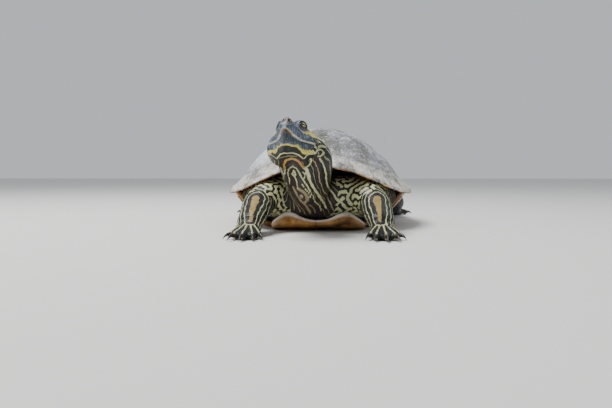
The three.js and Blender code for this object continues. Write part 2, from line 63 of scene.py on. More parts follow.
ahead = Vector((-math.sin(CAMERA_AZIMUTH), math.cos(CAMERA_AZIMUTH), 0))
to_right = Vector((math.cos(CAMERA_AZIMUTH), math.sin(CAMERA_AZIMUTH), 0))
lens_at = Vector((0, 0, CAMERA_HEIGHT)) - ahead * CAMERA_DISTANCE - to_right * CAMERA_LEFT
camera = bpy.data.objects.new("camera", bpy.data.cameras.new("camera"))
bpy.context.scene.collection.objects.link(camera)
camera.data.sensor_width = SENSOR
camera.data.lens = SENSOR * FOCAL_PIXELS / IMAGE_WIDTH
camera.data.clip_start = 10 * MM
camera.location = TO_FRAME + lens_at * MM
looking = ahead - Vector((0, 0, math.tan(CAMERA_PITCH)))
camera.rotation_mode = "QUATERNION"
camera.rotation_quaternion = looking.to_track_quat("-Z", "Y")
bpy.context.scene.camera = camera

# ------------------------------------------------------------------ carapace
# The upper shell is bone under thin plates of keratin: a row of five vertebrals, four costals a
# side and a rim of twelve marginals a side behind the small nuchal. It is one vault, grooved
# where the plates meet, turned up beside the hind legs and notched along its hind edge.
SHELL_WIDTH = 154
SHELL_TOP = 80
RIM_AT_SIDE, RIM_AT_NECK, RIM_AT_TAIL = 28, 48, 31  # heights
OUTLINE_POWER, OUTLINE_SWELL = 0.88, 0.06  # how full the plan is, and how much wider behind
SHELL_THICKNESS, RIM_EDGE = 4.5, 1.6
FLARE_RHO, FLARE_SHARE = 0.9, 0.14  # where the rim flares, and its share of the shell's rise
RIM_CURL, CURL_RHO, CURL_MIDDLE, CURL_SPREAD = 7, 0.86, 125, 38  # the last two are bearings
MARGINAL_RHO = 0.83  # where the marginals begin, as a share of the way out
VERTEBRAL_SEAMS = [(15, -52), (16, -14), (16, 24), (14, 58)]  # half width and y
COSTAL_CORNERS = [(23, -33, 62), (24, 5, 93), (21, 41, 128)]  # x, y, bearing at the marginals
VERTEBRAL_FRONT, VERTEBRAL_REAR = 14, 159  # bearings of the outer corners
MARGINAL_SEAMS = [5, 19, 34, 49, 63, 77, 91, 106, 121, 137, 153, 167, 180]  # bearings
SEAM_DEPTH, SEAM_WIDTH = 0.4, 0.7
SEAM_WANDER, WANDER_LENGTH = 0.5, 11
PLATE_SWELL, PLATE_EDGE = 0.7, 3.5  # how far a plate stands out, and how near its seam
RING_STEP, RING_DEPTH, RING_WANDER, RING_FADE = 2.3, 0.07, 0.6, 12  # growth rings by the seams
FURROW_DEPTH, FURROW_LENGTH, FURROW_STRETCH = 0.09, 3.2, (2.2, 0.45)
DENT_DEPTH, DENT_LENGTH = 0.22, 26
KEEL_HALF, KEEL_RISE, KEEL_KNOB, KNOB_STEP = 4, 0.35, 0.25, 38
RIM_UNEVEN = 0.3  # how far wear has left the rim uneven
NOTCH_DEPTH, FRONT_NOTCH, NOTCH_WIDTH = 2.4, 0.6, 3.2
HIND_COSINE = -0.15  # of the bearing, behind which the notches are deep
OUTSIDE_STEPS = 276  # faces across the vault, about 0.6 mm each
INSIDE_STEPS = 69
UNDER_RHO = [1.0, 0.994, 0.975, 0.945, 0.905, 0.86, 0.81]  # rings under the rim, outside in
INSIDE_RHO = UNDER_RHO[-1] - 0.05


def rounded(value, power):
    """A power that keeps the sign."""
    return np.sign(value) * np.abs(value) ** power


def smoothstep(x, low, high):
    """0 at low, 1 at high and smooth between; low may be the greater."""
    s = np.clip((x - low) / (high - low), 0, 1)
    return s * s * (3 - 2 * s)


def bump(distance, width):
    """1 at no distance, falling away like a bell."""
    return np.exp(-((distance / width) ** 2))


def rim(bearing):
    """The shell's outline in plan, by bearing from the neck round its left side."""
    swell = 1 - OUTLINE_SWELL * np.cos(bearing)
    x = SHELL_WIDTH / 2 * rounded(np.sin(bearing), OUTLINE_POWER) * swell
    return x, -SHELL_LENGTH / 2 * np.cos(bearing)


def dome_height(rho, bearing):
    """Height of the shell's outside, by share of the way out and bearing from the neck."""
    front = np.maximum(0, np.cos(bearing)) ** 4.2
    rear = np.maximum(0, -np.cos(bearing)) ** 4
    base = RIM_AT_SIDE + (RIM_AT_NECK - RIM_AT_SIDE) * front + (RIM_AT_TAIL - RIM_AT_SIDE) * rear
    crown = 1 - (1 - FLARE_SHARE) * (np.minimum(rho, FLARE_RHO) / FLARE_RHO) ** 2.2
    rise = np.where(rho > FLARE_RHO, FLARE_SHARE * (1 - rho) / (1 - FLARE_RHO), crown)
    off = (np.abs(np.degrees(bearing)) - CURL_MIDDLE) / CURL_SPREAD
    curl = RIM_CURL * np.maximum(0, 1 - off**2) ** 2 * smoothstep(rho, CURL_RHO, 1) ** 1.5
    return base + (SHELL_TOP - base) * rise + curl


def shell_polar(x, y):
    """Share of the way out to the rim, and bearing, of points in plan."""
    low, high = np.full(len(x), 1e-3), np.full(len(x), 4.0)
    for _ in range(32):
        rho = (low + high) / 2
        cosine = np.clip(-y / (SHELL_LENGTH / 2 * rho), -1, 1)
        width = np.abs(x) / (SHELL_WIDTH / 2 * rho * (1 - OUTLINE_SWELL * cosine))
        outside = width ** (2 / OUTLINE_POWER) + cosine**2 > 1
        low, high = np.where(outside, rho, low), np.where(outside, high, rho)
    return rho, np.arctan2(np.sign(x) * width ** (1 / OUTLINE_POWER), cosine)


def on_ring(degrees, rho=MARGINAL_RHO):
    """A point in plan at a bearing, a share of the way out to the rim."""
    x, y = rim(math.radians(degrees))
    return float(x) * rho, float(y) * rho


def carapace_seams():
    """The lines between the plates, in plan."""
    lines = [[on_ring(d) for d in range(-180, 181, 5)]]
    lines += [[(-half, y), (half, y)] for half, y in VERTEBRAL_SEAMS]
    for side in (1, -1):
        zigzag = [on_ring(side * VERTEBRAL_FRONT)]
        for i, (half, y) in enumerate(VERTEBRAL_SEAMS):
            zigzag.append((side * half, y))
            if i < len(COSTAL_CORNERS):
                zigzag.append((side * COSTAL_CORNERS[i][0], COSTAL_CORNERS[i][1]))
        lines.append(zigzag + [on_ring(side * VERTEBRAL_REAR)])
        lines += [[(side * x, y), on_ring(side * bearing)] for x, y, bearing in COSTAL_CORNERS]
        lines += [[on_ring(side * d, rho) for rho in (MARGINAL_RHO, 0.92, 1.03)] for d in MARGINAL_SEAMS]
    return lines


def distance_to_lines(at, lines):
    """Distance in millimetres from each point to the nearest of some polylines."""
    nearest = np.full(len(at), 1e3)
    for line in lines:
        for a, b in zip(line, line[1:]):
            a, run = np.array(a, float), np.subtract(b, a)
            share = np.clip((at - a) @ run / (run @ run), 0, 1)
            nearest = np.minimum(nearest, np.linalg.norm(at - a - share[:, None] * run, axis=1))
    return nearest


def waves(points, length, seed, count=14):
    """A smooth random field of about the given wavelength, between about -1 and 1."""
    rng = np.random.default_rng(seed)
    ways = rng.normal(size=(count, points.shape[1]))
    ways /= np.linalg.norm(ways, axis=1, keepdims=True)
    ways *= 2 * math.pi / length * rng.uniform(0.7, 1.4, (count, 1))
    return np.sin(points @ ways.T + rng.uniform(0, 2 * math.pi, count)).sum(1) / math.sqrt(count)


def new_piece(name, bm):
    """An object from a bmesh, which is freed."""
    mesh = bpy.data.meshes.new(name)
    bm.to_mesh(mesh)
    bm.free()
    piece = bpy.data.objects.new(name, mesh)
    bpy.context.scene.collection.objects.link(piece)
    return piece


def read_all(items, name, width=1, kind=np.int32):
    """One property of all a mesh's items, in rows of the given width."""
    values = np.empty(len(items) * width, kind)
    items.foreach_get(name, values)
    return values.reshape(-1, width) if width > 1 else values


def points_of(mesh):
    return read_all(mesh.vertices, "co", 3, np.float32).astype(float)


def normals_of(mesh):
    return read_all(mesh.vertices, "normal", 3, np.float32).astype(float)


def move_points(mesh, co):
    mesh.vertices.foreach_set("co", co.astype(np.float32).ravel())
    mesh.update()


def set_field(mesh, name, values):
    """A number kept at each point of a mesh, for its material to read."""
    mesh.attributes.new(name, "FLOAT", "POINT").data.foreach_set("value", values.astype(np.float32))


def settle(piece, slot, *nodes):
    """Bring a finished piece from millimetres into the frame, hang it from the root and hide the parts that
    it stands for.
    """
    move_points(piece.data, points_of(piece.data) * MM + np.array(TO_FRAME))
    piece.data.shade_smooth()
    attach(piece, "root")
    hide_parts(*nodes)


def disc_from_square(co):
    """The unit square laid out evenly over the unit disc."""
    u, v = co[:, 0], co[:, 1]
    return u * np.sqrt(1 - v**2 / 2), v * np.sqrt(1 - u**2 / 2)


def under_depth(rho):
    """How far the shell's underside lies below its outside."""
    return RIM_EDGE + (SHELL_THICKNESS - RIM_EDGE) * smoothstep(1 - rho, 0, 0.08)


def carapace_relief(at, rho):
    """Distance to the nearest seam, and how far the surface stands out, in millimetres."""
    wander = np.stack([waves(at, WANDER_LENGTH, 1), waves(at, WANDER_LENGTH, 2)], 1)
    seam = distance_to_lines(at + SEAM_WANDER * wander, carapace_seams())
    relief = PLATE_SWELL * (1 - np.exp(-seam / PLATE_EDGE)) - SEAM_DEPTH * bump(seam, SEAM_WIDTH)
    relief += RIM_UNEVEN * waves(at, 8, 6, 24) * smoothstep(rho, 0.86, 0.98)
    ring = np.sin(2 * math.pi * (seam + RING_WANDER * waves(at, 16, 3)) / RING_STEP)
    relief += RING_DEPTH * ring * np.exp(-seam / RING_FADE)
    relief += FURROW_DEPTH * waves(at * FURROW_STRETCH, FURROW_LENGTH, 4, 30)
    relief += DENT_DEPTH * waves(at, DENT_LENGTH, 5)
    knobs = KEEL_RISE + KEEL_KNOB * np.cos(2 * math.pi * at[:, 1] / KNOB_STEP)
    return seam, relief + bump(at[:, 0], KEEL_HALF) * knobs * smoothstep(rho, 0.95, 0.4)


def joint_distance(bearing, rho):
    """Distance along the rim to the nearest seam between two marginals, in millimetres."""
    x, y = rim(bearing)
    degrees = np.abs(np.degrees(bearing))
    reach = np.hypot(x, y) * rho * math.pi / 180
    return np.min([np.abs(degrees - d) for d in MARGINAL_SEAMS], axis=0) * reach


def build_carapace():
    """A grid over the vault, its border drawn in under the rim and bridged to a grid inside."""
    bm = bmesh.new()
    bmesh.ops.create_grid(bm, x_segments=OUTSIDE_STEPS, y_segments=OUTSIDE_STEPS, size=1)
    outside = len(bm.verts)
    loop = [e for e in bm.edges if e.is_boundary]
    for _ in UNDER_RHO:
        ring = bmesh.ops.extrude_edge_only(bm, edges=loop)["geom"]
        loop = [e for e in ring if isinstance(e, bmesh.types.BMEdge) and e.is_boundary]
    ring_length = len(loop)
    inner = bmesh.ops.create_grid(bm, x_segments=INSIDE_STEPS, y_segments=INSIDE_STEPS, size=1)
    hole = {e for v in inner["verts"] for e in v.link_edges if e.is_boundary}
    bmesh.ops.reverse_faces(bm, faces=list({f for v in inner["verts"] for f in v.link_faces}))
    bmesh.ops.bridge_loops(bm, edges=loop + list(hole))
    piece = new_piece("carapace_shell", bm)
    co = points_of(piece.data)
    u, v = disc_from_square(co)
    rho, bearing = np.hypot(u, v), np.arctan2(u, -v)
    depth = np.zeros(len(co))
    for k, share in enumerate(UNDER_RHO):
        ring = slice(outside + k * ring_length, outside + (k + 1) * ring_length)
        rho[ring] = share
        depth[ring] = under_depth(share)
    inside = slice(outside + len(UNDER_RHO) * ring_length, len(co))
    rho[inside] *= INSIDE_RHO
    depth[inside] = SHELL_THICKNESS
    x, y = rim(bearing)
    at = np.stack([x * rho, y * rho], 1)
    seam, relief = carapace_relief(at, rho)
    joint = joint_distance(bearing, rho)
    notch = np.where(np.cos(bearing) < HIND_COSINE, NOTCH_DEPTH, FRONT_NOTCH)
    notch = notch * bump(joint, NOTCH_WIDTH) * smoothstep(rho, 0.88, 1)
    notch += RIM_UNEVEN * waves(at, 9, 7, 24) * smoothstep(rho, 0.9, 1)
    at *= 1 - notch[:, None] / (SHELL_LENGTH / 2)
    above = depth == 0
    height = dome_height(rho, bearing) - depth
    co = np.stack([at[:, 0], at[:, 1], height], 1)
    move_points(piece.data, co)
    co += normals_of(piece.data) * np.where(above, relief * smoothstep(rho, 1.0, 0.985), 0)[:, None]
    move_points(piece.data, co)
    set_field(piece.data, "seam", seam)
    set_field(piece.data, "rho", rho)
    set_field(piece.data, "under", np.where(above, 0.0, 1.0))
    set_field(piece.data, "joint", joint)
    return piece


def linear(hex_colour):
    """An sRGB hex colour as linear numbers, and opaque."""
    parts = [int(hex_colour[i : i + 2], 16) / 255 for i in (1, 3, 5)]
    return (*[c / 12.92 if c <= 0.04045 else ((c + 0.055) / 1.055) ** 2.4 for c in parts], 1.0)


def wire(tree, node, links):
    """Give a node's inputs values, or link them to other nodes' outputs."""
    for key, value in links.items():
        if isinstance(value, bpy.types.NodeSocket):
            tree.links.new(value, node.inputs[key])
        else:
            node.inputs[key].default_value = value


def add_node(tree, kind, links=(), out=0, stops=(), **settings):
    """A shader node with its settings. The links map its inputs to values or to other nodes'
    outputs, and the output that the next node reads is given back."""
    node = tree.nodes.new(f"ShaderNode{kind}")
    for key, value in settings.items():
        setattr(node, key, value)
    wire(tree, node, dict(links))
    for i, (position, colour) in enumerate(stops):
        elements = node.color_ramp.elements
        element = elements[i] if i < 2 else elements.new(position)
        element.position = position
        element.color = linear(colour)
    return node.outputs[out]


def new_material(name):
    """A node material with its default tree, and that tree's surface shader."""
    material = bpy.data.materials.new(name)
    material.use_nodes = True
    return material, material.node_tree, material.node_tree.nodes["Principled BSDF"]


def read_patterns(tree, place, sizes, fields):
    """Noises of the given sizes in mm and details, and fields kept in the mesh, by name."""
    patterns = {}
    for name, (size, detail) in sizes.items():
        links = {"Vector": place, "Scale": 1 / (size * MM), "Detail": detail, "Roughness": 0.62}
        patterns[name] = add_node(tree, "TexNoise", links)
    for name in fields:
        patterns[name] = add_node(tree, "Attribute", out="Fac", attribute_name=name)
    return patterns


def tone_layers(tree, colour, patterns, layers):
    """Lay tones over a colour, each where its field and the pattern that breaks it up allow."""
    for field, start, end, breaker, low, high, share, tone in layers:
        links = {"Value": patterns[field], "From Min": start, "From Max": end}
        mask = add_node(tree, "MapRange", links)
        links = {"Value": patterns[breaker], "From Min": low, "From Max": high, "To Max": share}
        broken = add_node(tree, "MapRange", links)
        mask = add_node(tree, "Math", {0: mask, 1: broken}, operation="MULTIPLY")
        colour = add_node(tree, "Mix", {0: mask, 6: colour, 7: linear(tone)}, out=2, data_type="RGBA")
    return colour


# Each layer of tone: the field or pattern it follows, from which value to which it comes in, the
# pattern that breaks it up and the values between which that does, its strength and its colour.
CARAPACE_LAYERS = [
    # pale lilac clouds: whitish dust, and painted sheen where the shell's top catches the light
    ("dust_and_sheen", 0.46, 0.6, "clouds", 0.25, 0.5, 0.75, "#d8d9e0"),
    ("blotches", 0.54, 0.66, "clouds", 0.62, 0.4, 0.7, "#45443a"),
    # pale cream mottling over the marginals: weathering, and painted glare where light catches the shell
    ("rho", 0.76, 0.88, "blotches", 0.4, 0.54, 0.75, "#e0ddd0"),
    ("rho", 0.86, 0.96, "patches", 0.42, 0.56, 0.6, "#b9a98a"),
    # dark band along the rim's outer edge, where it turns down: painted shade
    ("rho", 0.93, 0.99, "patches", 0.54, 0.62, 0.85, "#4a4232"),
    ("seam", 4.5, 0.4, "fine", 0.34, 0.66, 0.45, "#4a4439"),
    ("seam", 1.0, 0.2, "fine", 0.3, 0.6, 0.35, "#3b372f"),
    ("joint", 2.6, 0.4, "rho", 0.84, 0.93, 0.5, "#57503f"),
    ("specks", 0.52, 0.62, "clouds", 0.1, 0.2, 0.34, "#67645f"),
    ("specks", 0.46, 0.36, "clouds", 0.1, 0.2, 0.38, "#eceaee"),
]
UNDERSIDE_LAYERS = [
    ("joint", 8, 4.5, "fine", 0.36, 0.5, 1, "#2a1a10"),
    # near black further in under the rim: painted shade inside the shell
    ("rho", 0.9, 0.82, "fine", -1, 0, 1, "#24170e"),
]
CARAPACE_PATTERNS = {  # millimetres, and detail
    "clouds": (26, 6), "dust_and_sheen": (45, 3), "blotches": (15, 4), "patches": (12, 5),
    "fine": (6, 5), "specks": (2.4, 3), "wax": (9, 4),
}  # fmt: skip


def keratin_of_carapace():
    """Dry keratin with a soft sheen: olive grey with a lilac bloom of dust and painted sheen, browner and
    mottled towards the rim, the mottling partly painted glare, and the rim's outer edge darkened with
    painted shade. Under the rim it is bare and waxy, orange yellow with a dark smudge at each joint, and it
    goes dark further in with painted shade."""
    material, tree, surface = new_material("dry_keratin")
    place = add_node(tree, "TexCoord", out="Object")
    drawn = add_node(tree, "Mapping", {"Vector": place, "Scale": (1, 0.5, 1)})
    patterns = read_patterns(tree, drawn, CARAPACE_PATTERNS, ("rho", "seam", "joint", "under"))
    stops = [(0.3, "#4d4c42"), (0.43, "#73726a"), (0.54, "#8f8e93"), (0.68, "#b9b8bf")]
    top = add_node(tree, "ValToRGB", {"Fac": patterns["clouds"]}, stops=stops)
    along = add_node(tree, "Mapping", {"Vector": place, "Scale": (1, 0.2, 1)})
    links = {"Vector": along, "Scale": 1 / (2.4 * MM), "Detail": 5, "Roughness": 0.7}
    furrows = add_node(tree, "TexNoise", links)
    stops = [(0.32, "#3c3a34"), (0.5, "#808080"), (0.68, "#d9d6d2")]
    streaks = add_node(tree, "ValToRGB", {"Fac": furrows}, stops=stops)
    links = {0: 0.65, 6: top, 7: streaks}
    top = add_node(tree, "Mix", links, out=2, data_type="RGBA", blend_type="SOFT_LIGHT")
    stops = [(0.34, "#8a4a17"), (0.48, "#c07a24"), (0.64, "#d8a850")]
    waxy = add_node(tree, "ValToRGB", {"Fac": patterns["wax"]}, stops=stops)
    top = tone_layers(tree, top, patterns, CARAPACE_LAYERS)
    waxy = tone_layers(tree, waxy, patterns, UNDERSIDE_LAYERS)
    below = add_node(tree, "MapRange", {"Value": patterns["under"], "From Min": 0.35, "From Max": 0.65})
    colour = add_node(tree, "Mix", {0: below, 6: top, 7: waxy}, out=2, data_type="RGBA")
    rough = add_node(tree, "MapRange", {"Value": patterns["clouds"], "To Min": 0.3, "To Max": 0.55})
    links = {"Vector": along, "Scale": 1 / (1.8 * MM), "Detail": 4, "Roughness": 0.7}
    height = add_node(tree, "TexNoise", links)
    relief = add_node(tree, "Bump", {"Strength": 0.5, "Distance": 0.4 * MM, "Height": height})
    wire(tree, surface, {"Base Color": colour, "Roughness": rough, "Normal": relief})
    return material


carapace = build_carapace()
carapace.data.materials.append(keratin_of_carapace())
plates = ["nuchal", "marginals_l", "marginals_r"]
plates += [f"vertebral_{i}" for i in range(1, 6)]
plates += [f"costal_{tag}{i}" for tag in "lr" for i in range(1, 5)]
settle(carapace, "carapace", *plates)

# ------------------------------------------------------------------ plastron
# The lower shell is six pairs of worn plates, ochre with dark smudges, flat enough to lie on. It
# rises at the sides as the bridges that meet the rim, and in front it turns up to a blunt pale
# lip with a thick corner at each side of the throat.
PLASTRON_THICKNESS = 4.5
PLASTRON_RADIUS = [  # bearing from the neck, and how far the edge lies from the middle
    (0, 84), (10, 87), (22, 84), (32, 68), (40, 57), (60, 76), (74, 72.6), (90, 72), (105, 74.2),
    (119, 78.5), (136, 60), (147, 70), (160, 83), (173, 88), (180, 84),
]  # fmt: skip
# The section from the middle of the inside, by way of the edge, to the middle of the underside:
# how far down it, and how far out.
PLASTRON_SECTION = ([0, 0.25, 0.38, 0.5, 0.66, 1], [0, 0.95, 1, 1, 0.93, 0])
PLASTRON_STEPS, PLASTRON_RINGS = 400, 110
BRIDGE_START, BRIDGE_END, BRIDGE_RISE = 44, 72, 25  # way out at which it rises, and how high
BRIDGE_HALF, BRIDGE_REACH, BRIDGE_GAP = 42, 60, 0.15  # along the shell, and under the rim
LIP_START, LIP_LENGTH, LIP_RISE = 56, 31, 5
HORN_AT, HORN_WIDTH, HORN_RISE = 22.5, 10, 7.5
EDGE_RADIUS = 1.3
PLASTRON_SEAMS = [(-62, -74), (-45, -45), (-14, -18), (24, 20), (52, 60)]  # y in the middle, outside
PLASTRON_SWELL, SWELL_EDGE = 0.35, 3
GROOVE_DEPTH, GROOVE_WIDTH = 0.5, 0.6
WORN_RING_STEP, WORN_RING_DEPTH = 2.6, 0.05
INSIDE_SHARE = 0.35  # of the relief, which the inside keeps


def through(knots):
    """A smooth curve through (position, value) knots, for numbers and arrays."""
    at = np.array([k[0] for k in knots], float)
    value = np.array([k[1] for k in knots], float)
    slope = np.empty(len(at))
    for i in range(len(at)):
        a, b = max(i - 1, 0), min(i + 1, len(at) - 1)
        slope[i] = (value[b] - value[a]) / (at[b] - at[a])

    def curve(x):
        x = np.clip(x, at[0], at[-1])
        i = np.clip(np.searchsorted(at, x, "right") - 1, 0, len(at) - 2)
        width = at[i + 1] - at[i]
        s = (x - at[i]) / width
        ease = s * s * (3 - 2 * s)
        bend = width * s * (1 - s) * ((1 - s) * slope[i] - s * slope[i + 1])
        return value[i] + (value[i + 1] - value[i]) * ease + bend

    return curve


plastron_radius = through(PLASTRON_RADIUS)


def lip_share(y):
    """How far the front turns up, from 0 to 1 at its edge."""
    return (np.maximum(0, -y - LIP_START) / LIP_LENGTH) ** 1.6


def plastron_under(x, y):
    """Height of the plastron's underside: flat, but for the bridges and the lip."""
    rim_half = rim(np.arccos(-np.clip(y, -BRIDGE_HALF, BRIDGE_HALF) / (SHELL_LENGTH / 2)))[0]
    out = np.abs(x) * SHELL_WIDTH / 2 / rim_half
    wing = np.maximum(0, out - BRIDGE_START) / (BRIDGE_END - BRIDGE_START)
    return BRIDGE_RISE * wing**1.4 + LIP_RISE * lip_share(y)


def plastron_over(x, y):
    """The plastron's inside, which the rim's own underside stops at the top of the bridges."""
    horn = bump(np.abs(x) - HORN_AT, HORN_WIDTH)
    inside = plastron_under(x, y) + PLASTRON_THICKNESS + HORN_RISE * horn * lip_share(y)
    rho, bearing = shell_polar(x, y)
    rho = np.minimum(rho, 1)
    rim_under = dome_height(rho, bearing) - under_depth(rho) - BRIDGE_GAP
    return np.where(np.abs(y) < BRIDGE_REACH, np.minimum(inside, rim_under), inside)


def build_plastron():
    """A ball flattened between the plastron's two sides."""
    bm = bmesh.new()
    bmesh.ops.create_uvsphere(bm, u_segments=PLASTRON_STEPS, v_segments=PLASTRON_RINGS, radius=1)
    piece = new_piece("plastron_shell", bm)
    unit = points_of(piece.data)
    t = np.arccos(np.clip(unit[:, 2], -1, 1)) / math.pi
    bearing = np.arctan2(unit[:, 0], -unit[:, 1])
    share = np.interp(t, *PLASTRON_SECTION)
    level = smoothstep(t, 0.56, 0.36)  # 1 above, 0 below
    radius = plastron_radius(np.abs(np.degrees(bearing)))
    x, y = radius * share * np.sin(bearing), -radius * share * np.cos(bearing)
    low, high = plastron_under(x, y), plastron_over(x, y)
    rounding = EDGE_RADIUS * (1 - np.sqrt(np.clip(1 - (2 * level - 1) ** 2, 0, 1))) * (share > 0.97)
    inward = 1 - rounding / radius
    co = np.stack([x * inward, y * inward, low + (high - low) * level], 1)
    at = co[:, :2]
    warped = at + 0.6 * np.stack([waves(at, 14, 11), waves(at, 14, 12)], 1)
    lines = [[(-80, side), (0, middle), (80, side)] for middle, side in PLASTRON_SEAMS]
    seam = distance_to_lines(warped, lines + [[(0, -100), (0, 100)]])
    below = smoothstep(level, 0.75, 0.35)
    relief = PLASTRON_SWELL * (1 - np.exp(-seam / SWELL_EDGE))
    relief = relief - GROOVE_DEPTH * bump(seam, GROOVE_WIDTH) - PLASTRON_SWELL
    relief += WORN_RING_DEPTH * np.sin(2 * math.pi * (seam + waves(at, 20, 13)) / WORN_RING_STEP)
    move_points(piece.data, co)
    co += normals_of(piece.data) * (relief * np.maximum(below, INSIDE_SHARE))[:, None]
    co[:, 2] = np.maximum(co[:, 2], 0)
    move_points(piece.data, co)
    set_field(piece.data, "seam", seam)
    set_field(piece.data, "level", level)
    set_field(piece.data, "lip", level * smoothstep(share, 0.75, 0.9) * smoothstep(-y, 48, 60))
    return piece


PLASTRON_LAYERS = [
    ("level", 0.5, 0.2, "broad", 0.5, 0.58, 0.8, "#2b1c12"),
    ("level", 0.1, 0.6, "patches", 0.5, 0.66, 0.6, "#6e6132"),
    ("seam", 0.9, 0.3, "patches", 0.1, 0.3, 0.8, "#2c1d12"),
    ("lip", 0.6, 0.78, "fine", 0.3, 0.46, 0.95, "#e0d8ca"),
    ("lip", 0.86, 0.95, "fine", 0.4, 0.55, 0.5, "#8d8578"),
]
PLASTRON_PATTERNS = {
    "ochre": (11, 5), "broad": (30, 5), "patches": (16, 5), "fine": (7, 5), "grain": (2.5, 5),
}  # fmt: skip


def keratin_of_plastron():
    """Worn keratin: ochre going to brown in smudges, with a pale cream edge where it is thin."""
    material, tree, surface = new_material("worn_keratin")
    place = add_node(tree, "TexCoord", out="Object")
    patterns = read_patterns(tree, place, PLASTRON_PATTERNS, ("level", "lip", "seam"))
    stops = [(0.28, "#4a2f17"), (0.42, "#83551f"), (0.54, "#a9742f"), (0.68, "#c69c5c")]
    ochre = add_node(tree, "ValToRGB", {"Fac": patterns["ochre"]}, stops=stops)
    colour = tone_layers(tree, ochre, patterns, PLASTRON_LAYERS)
    links = {"Strength": 0.45, "Distance": 0.4 * MM, "Height": patterns["grain"]}
    relief = add_node(tree, "Bump", links)
    wire(tree, surface, {"Base Color": colour, "Roughness": 0.42, "Normal": relief})
    return material


plastron = build_plastron()
plastron.data.materials.append(keratin_of_plastron())
pairs = ("gular", "humeral", "pectoral", "abdominal", "femoral", "anal")
settle(plastron, "plastron", *[f"plastron_{pair}" for pair in pairs])

# ------------------------------------------------------------------ skin
# Head, neck, trunk, legs and tail are one continuous skin over swept bodies. The bodies are made
# one surface and smoothed where they meet. Over the head it is refined, and the beak, the lids,
# the nostrils and the ears are worked into it.
SIDES = {"l": 1, "r": -1}
BEAK_TIP = np.array((-18, -147, 69.5))
HEAD_TURN = Matrix.Rotation(math.radians(-10), 3, "Z") @ Matrix.Rotation(math.radians(-28), 3, "X")
HEAD_AXES = np.array(HEAD_TURN)  # columns: to its left, backwards, up
HEAD_LENGTH, SNOUT = 37, 1  # behind the beak's tip, and in front of it


def smooth_path(points, steps=160):
    """Points at equal steps along a smooth curve through the given ones, and its length."""
    points = [np.array(p, float) for p in points]
    points = [2 * points[0] - points[1]] + points + [2 * points[-1] - points[-2]]
    fine = []
    for a, b, c, d in zip(points, points[1:], points[2:], points[3:]):
        gap = [math.sqrt(np.linalg.norm(q - p)) for p, q in ((a, b), (b, c), (c, d))]
        lean_b = (b - a) / gap[0] - (c - a) / (gap[0] + gap[1]) + (c - b) / gap[1]
        lean_c = (c - b) / gap[1] - (d - b) / (gap[1] + gap[2]) + (d - c) / gap[2]
        lean_b, lean_c = lean_b * gap[1], lean_c * gap[1]
        s = np.linspace(0, 1, 60, endpoint=False)[:, None]
        bend = (3 * (c - b) - 2 * lean_b - lean_c) * s**2 + (2 * (b - c) + lean_b + lean_c) * s**3
        fine.append(b + lean_b * s + bend)
    fine = np.concatenate(fine + [points[-2][None]])
    length = np.concatenate([[0], np.cumsum(np.linalg.norm(np.diff(fine, axis=0), axis=1))])
    at = np.linspace(0, length[-1], steps + 1)
    return np.stack([np.interp(at, length, fine[:, k]) for k in range(3)], 1), length[-1]


class Limb:
    """A swept body: a path with half widths and heights along it. Above 2, square makes it
    boxier, narrow draws in its upper half, and caps are the shares over which its ends close."""

    def __init__(self, path, up, half, top, bottom=None, square=2.0, narrow=None, caps=(0.1, 0.1)):
        self.points, self.length = smooth_path(path)
        forward = np.gradient(self.points, axis=0)
        self.forward = forward / np.linalg.norm(forward, axis=1, keepdims=True)
        left = np.cross(np.array(up, float), self.forward)
        self.left = left / np.linalg.norm(left, axis=1, keepdims=True)
        self.upward = np.cross(self.forward, self.left)
        self.half, self.top, self.bottom = half, top, bottom or top
        self.square, self.narrow, self.caps = square, narrow, caps

    def at(self, rows, t):
        """Rows kept at equal steps along the path, read between them."""
        steps = np.arange(len(rows)) / (len(rows) - 1)
        return np.stack([np.interp(t, steps, rows[:, k]) for k in range(3)], 1)

    def surface(self, unit):
        """Where the points of a unit ball lie on the body."""
        t = (1 - unit[:, 2]) / 2
        turn = np.arctan2(unit[:, 1], unit[:, 0])
        across = rounded(np.cos(turn), 2 / self.square)
        upward = rounded(np.sin(turn), 2 / self.square)
        start = np.minimum(1, t / self.caps[0])
        end = np.minimum(1, (1 - t) / self.caps[1])
        cap = np.sqrt((1 - (1 - start) ** 2) * (1 - (1 - end) ** 2))
        high = np.where(upward > 0, self.top(t), self.bottom(t)) * upward * cap
        wide = self.half(t) * across * cap
        if self.narrow:
            wide *= 1 - self.narrow(t) * np.maximum(0, upward)
        sides = self.at(self.left, t) * wide[:, None] + self.at(self.upward, t) * high[:, None]
        return self.at(self.points, t) + sides

    def coordinates(self, co):
        """Each point's way along the path in mm, its sideways and upward offsets from it."""
        near = (self.points**2).sum(1) - 2 * co @ self.points.T
        i = near.argmin(1)
        off = co - self.points[i]
        step = self.length / (len(self.points) - 1)
        along = i * step + (off * self.forward[i]).sum(1)
        return along, (off * self.left[i]).sum(1), (off * self.upward[i]).sum(1)


def add_ball(bm, place, segments=48, rings=64):
    """A ball laid out by place(unit points) and added to a bmesh, its faces outwards."""
    ball = bmesh.new()
    bmesh.ops.create_uvsphere(ball, u_segments=segments, v_segments=rings, radius=1)
    unit = np.array([v.co for v in ball.verts])
    for v, co in zip(ball.verts, place(unit)):
        v.co = co
    if ball.calc_volume(signed=True) < 0:
        bmesh.ops.reverse_faces(ball, faces=ball.faces)
    part = bpy.data.meshes.new("part")
    ball.to_mesh(part)
    ball.free()
    bm.from_mesh(part)
    bpy.data.meshes.remove(part)


def head_place(points):
    """From the head's own frame (left, behind the beak's tip, up) to the body's."""
    return np.asarray(points, float) @ HEAD_AXES.T + BEAK_TIP


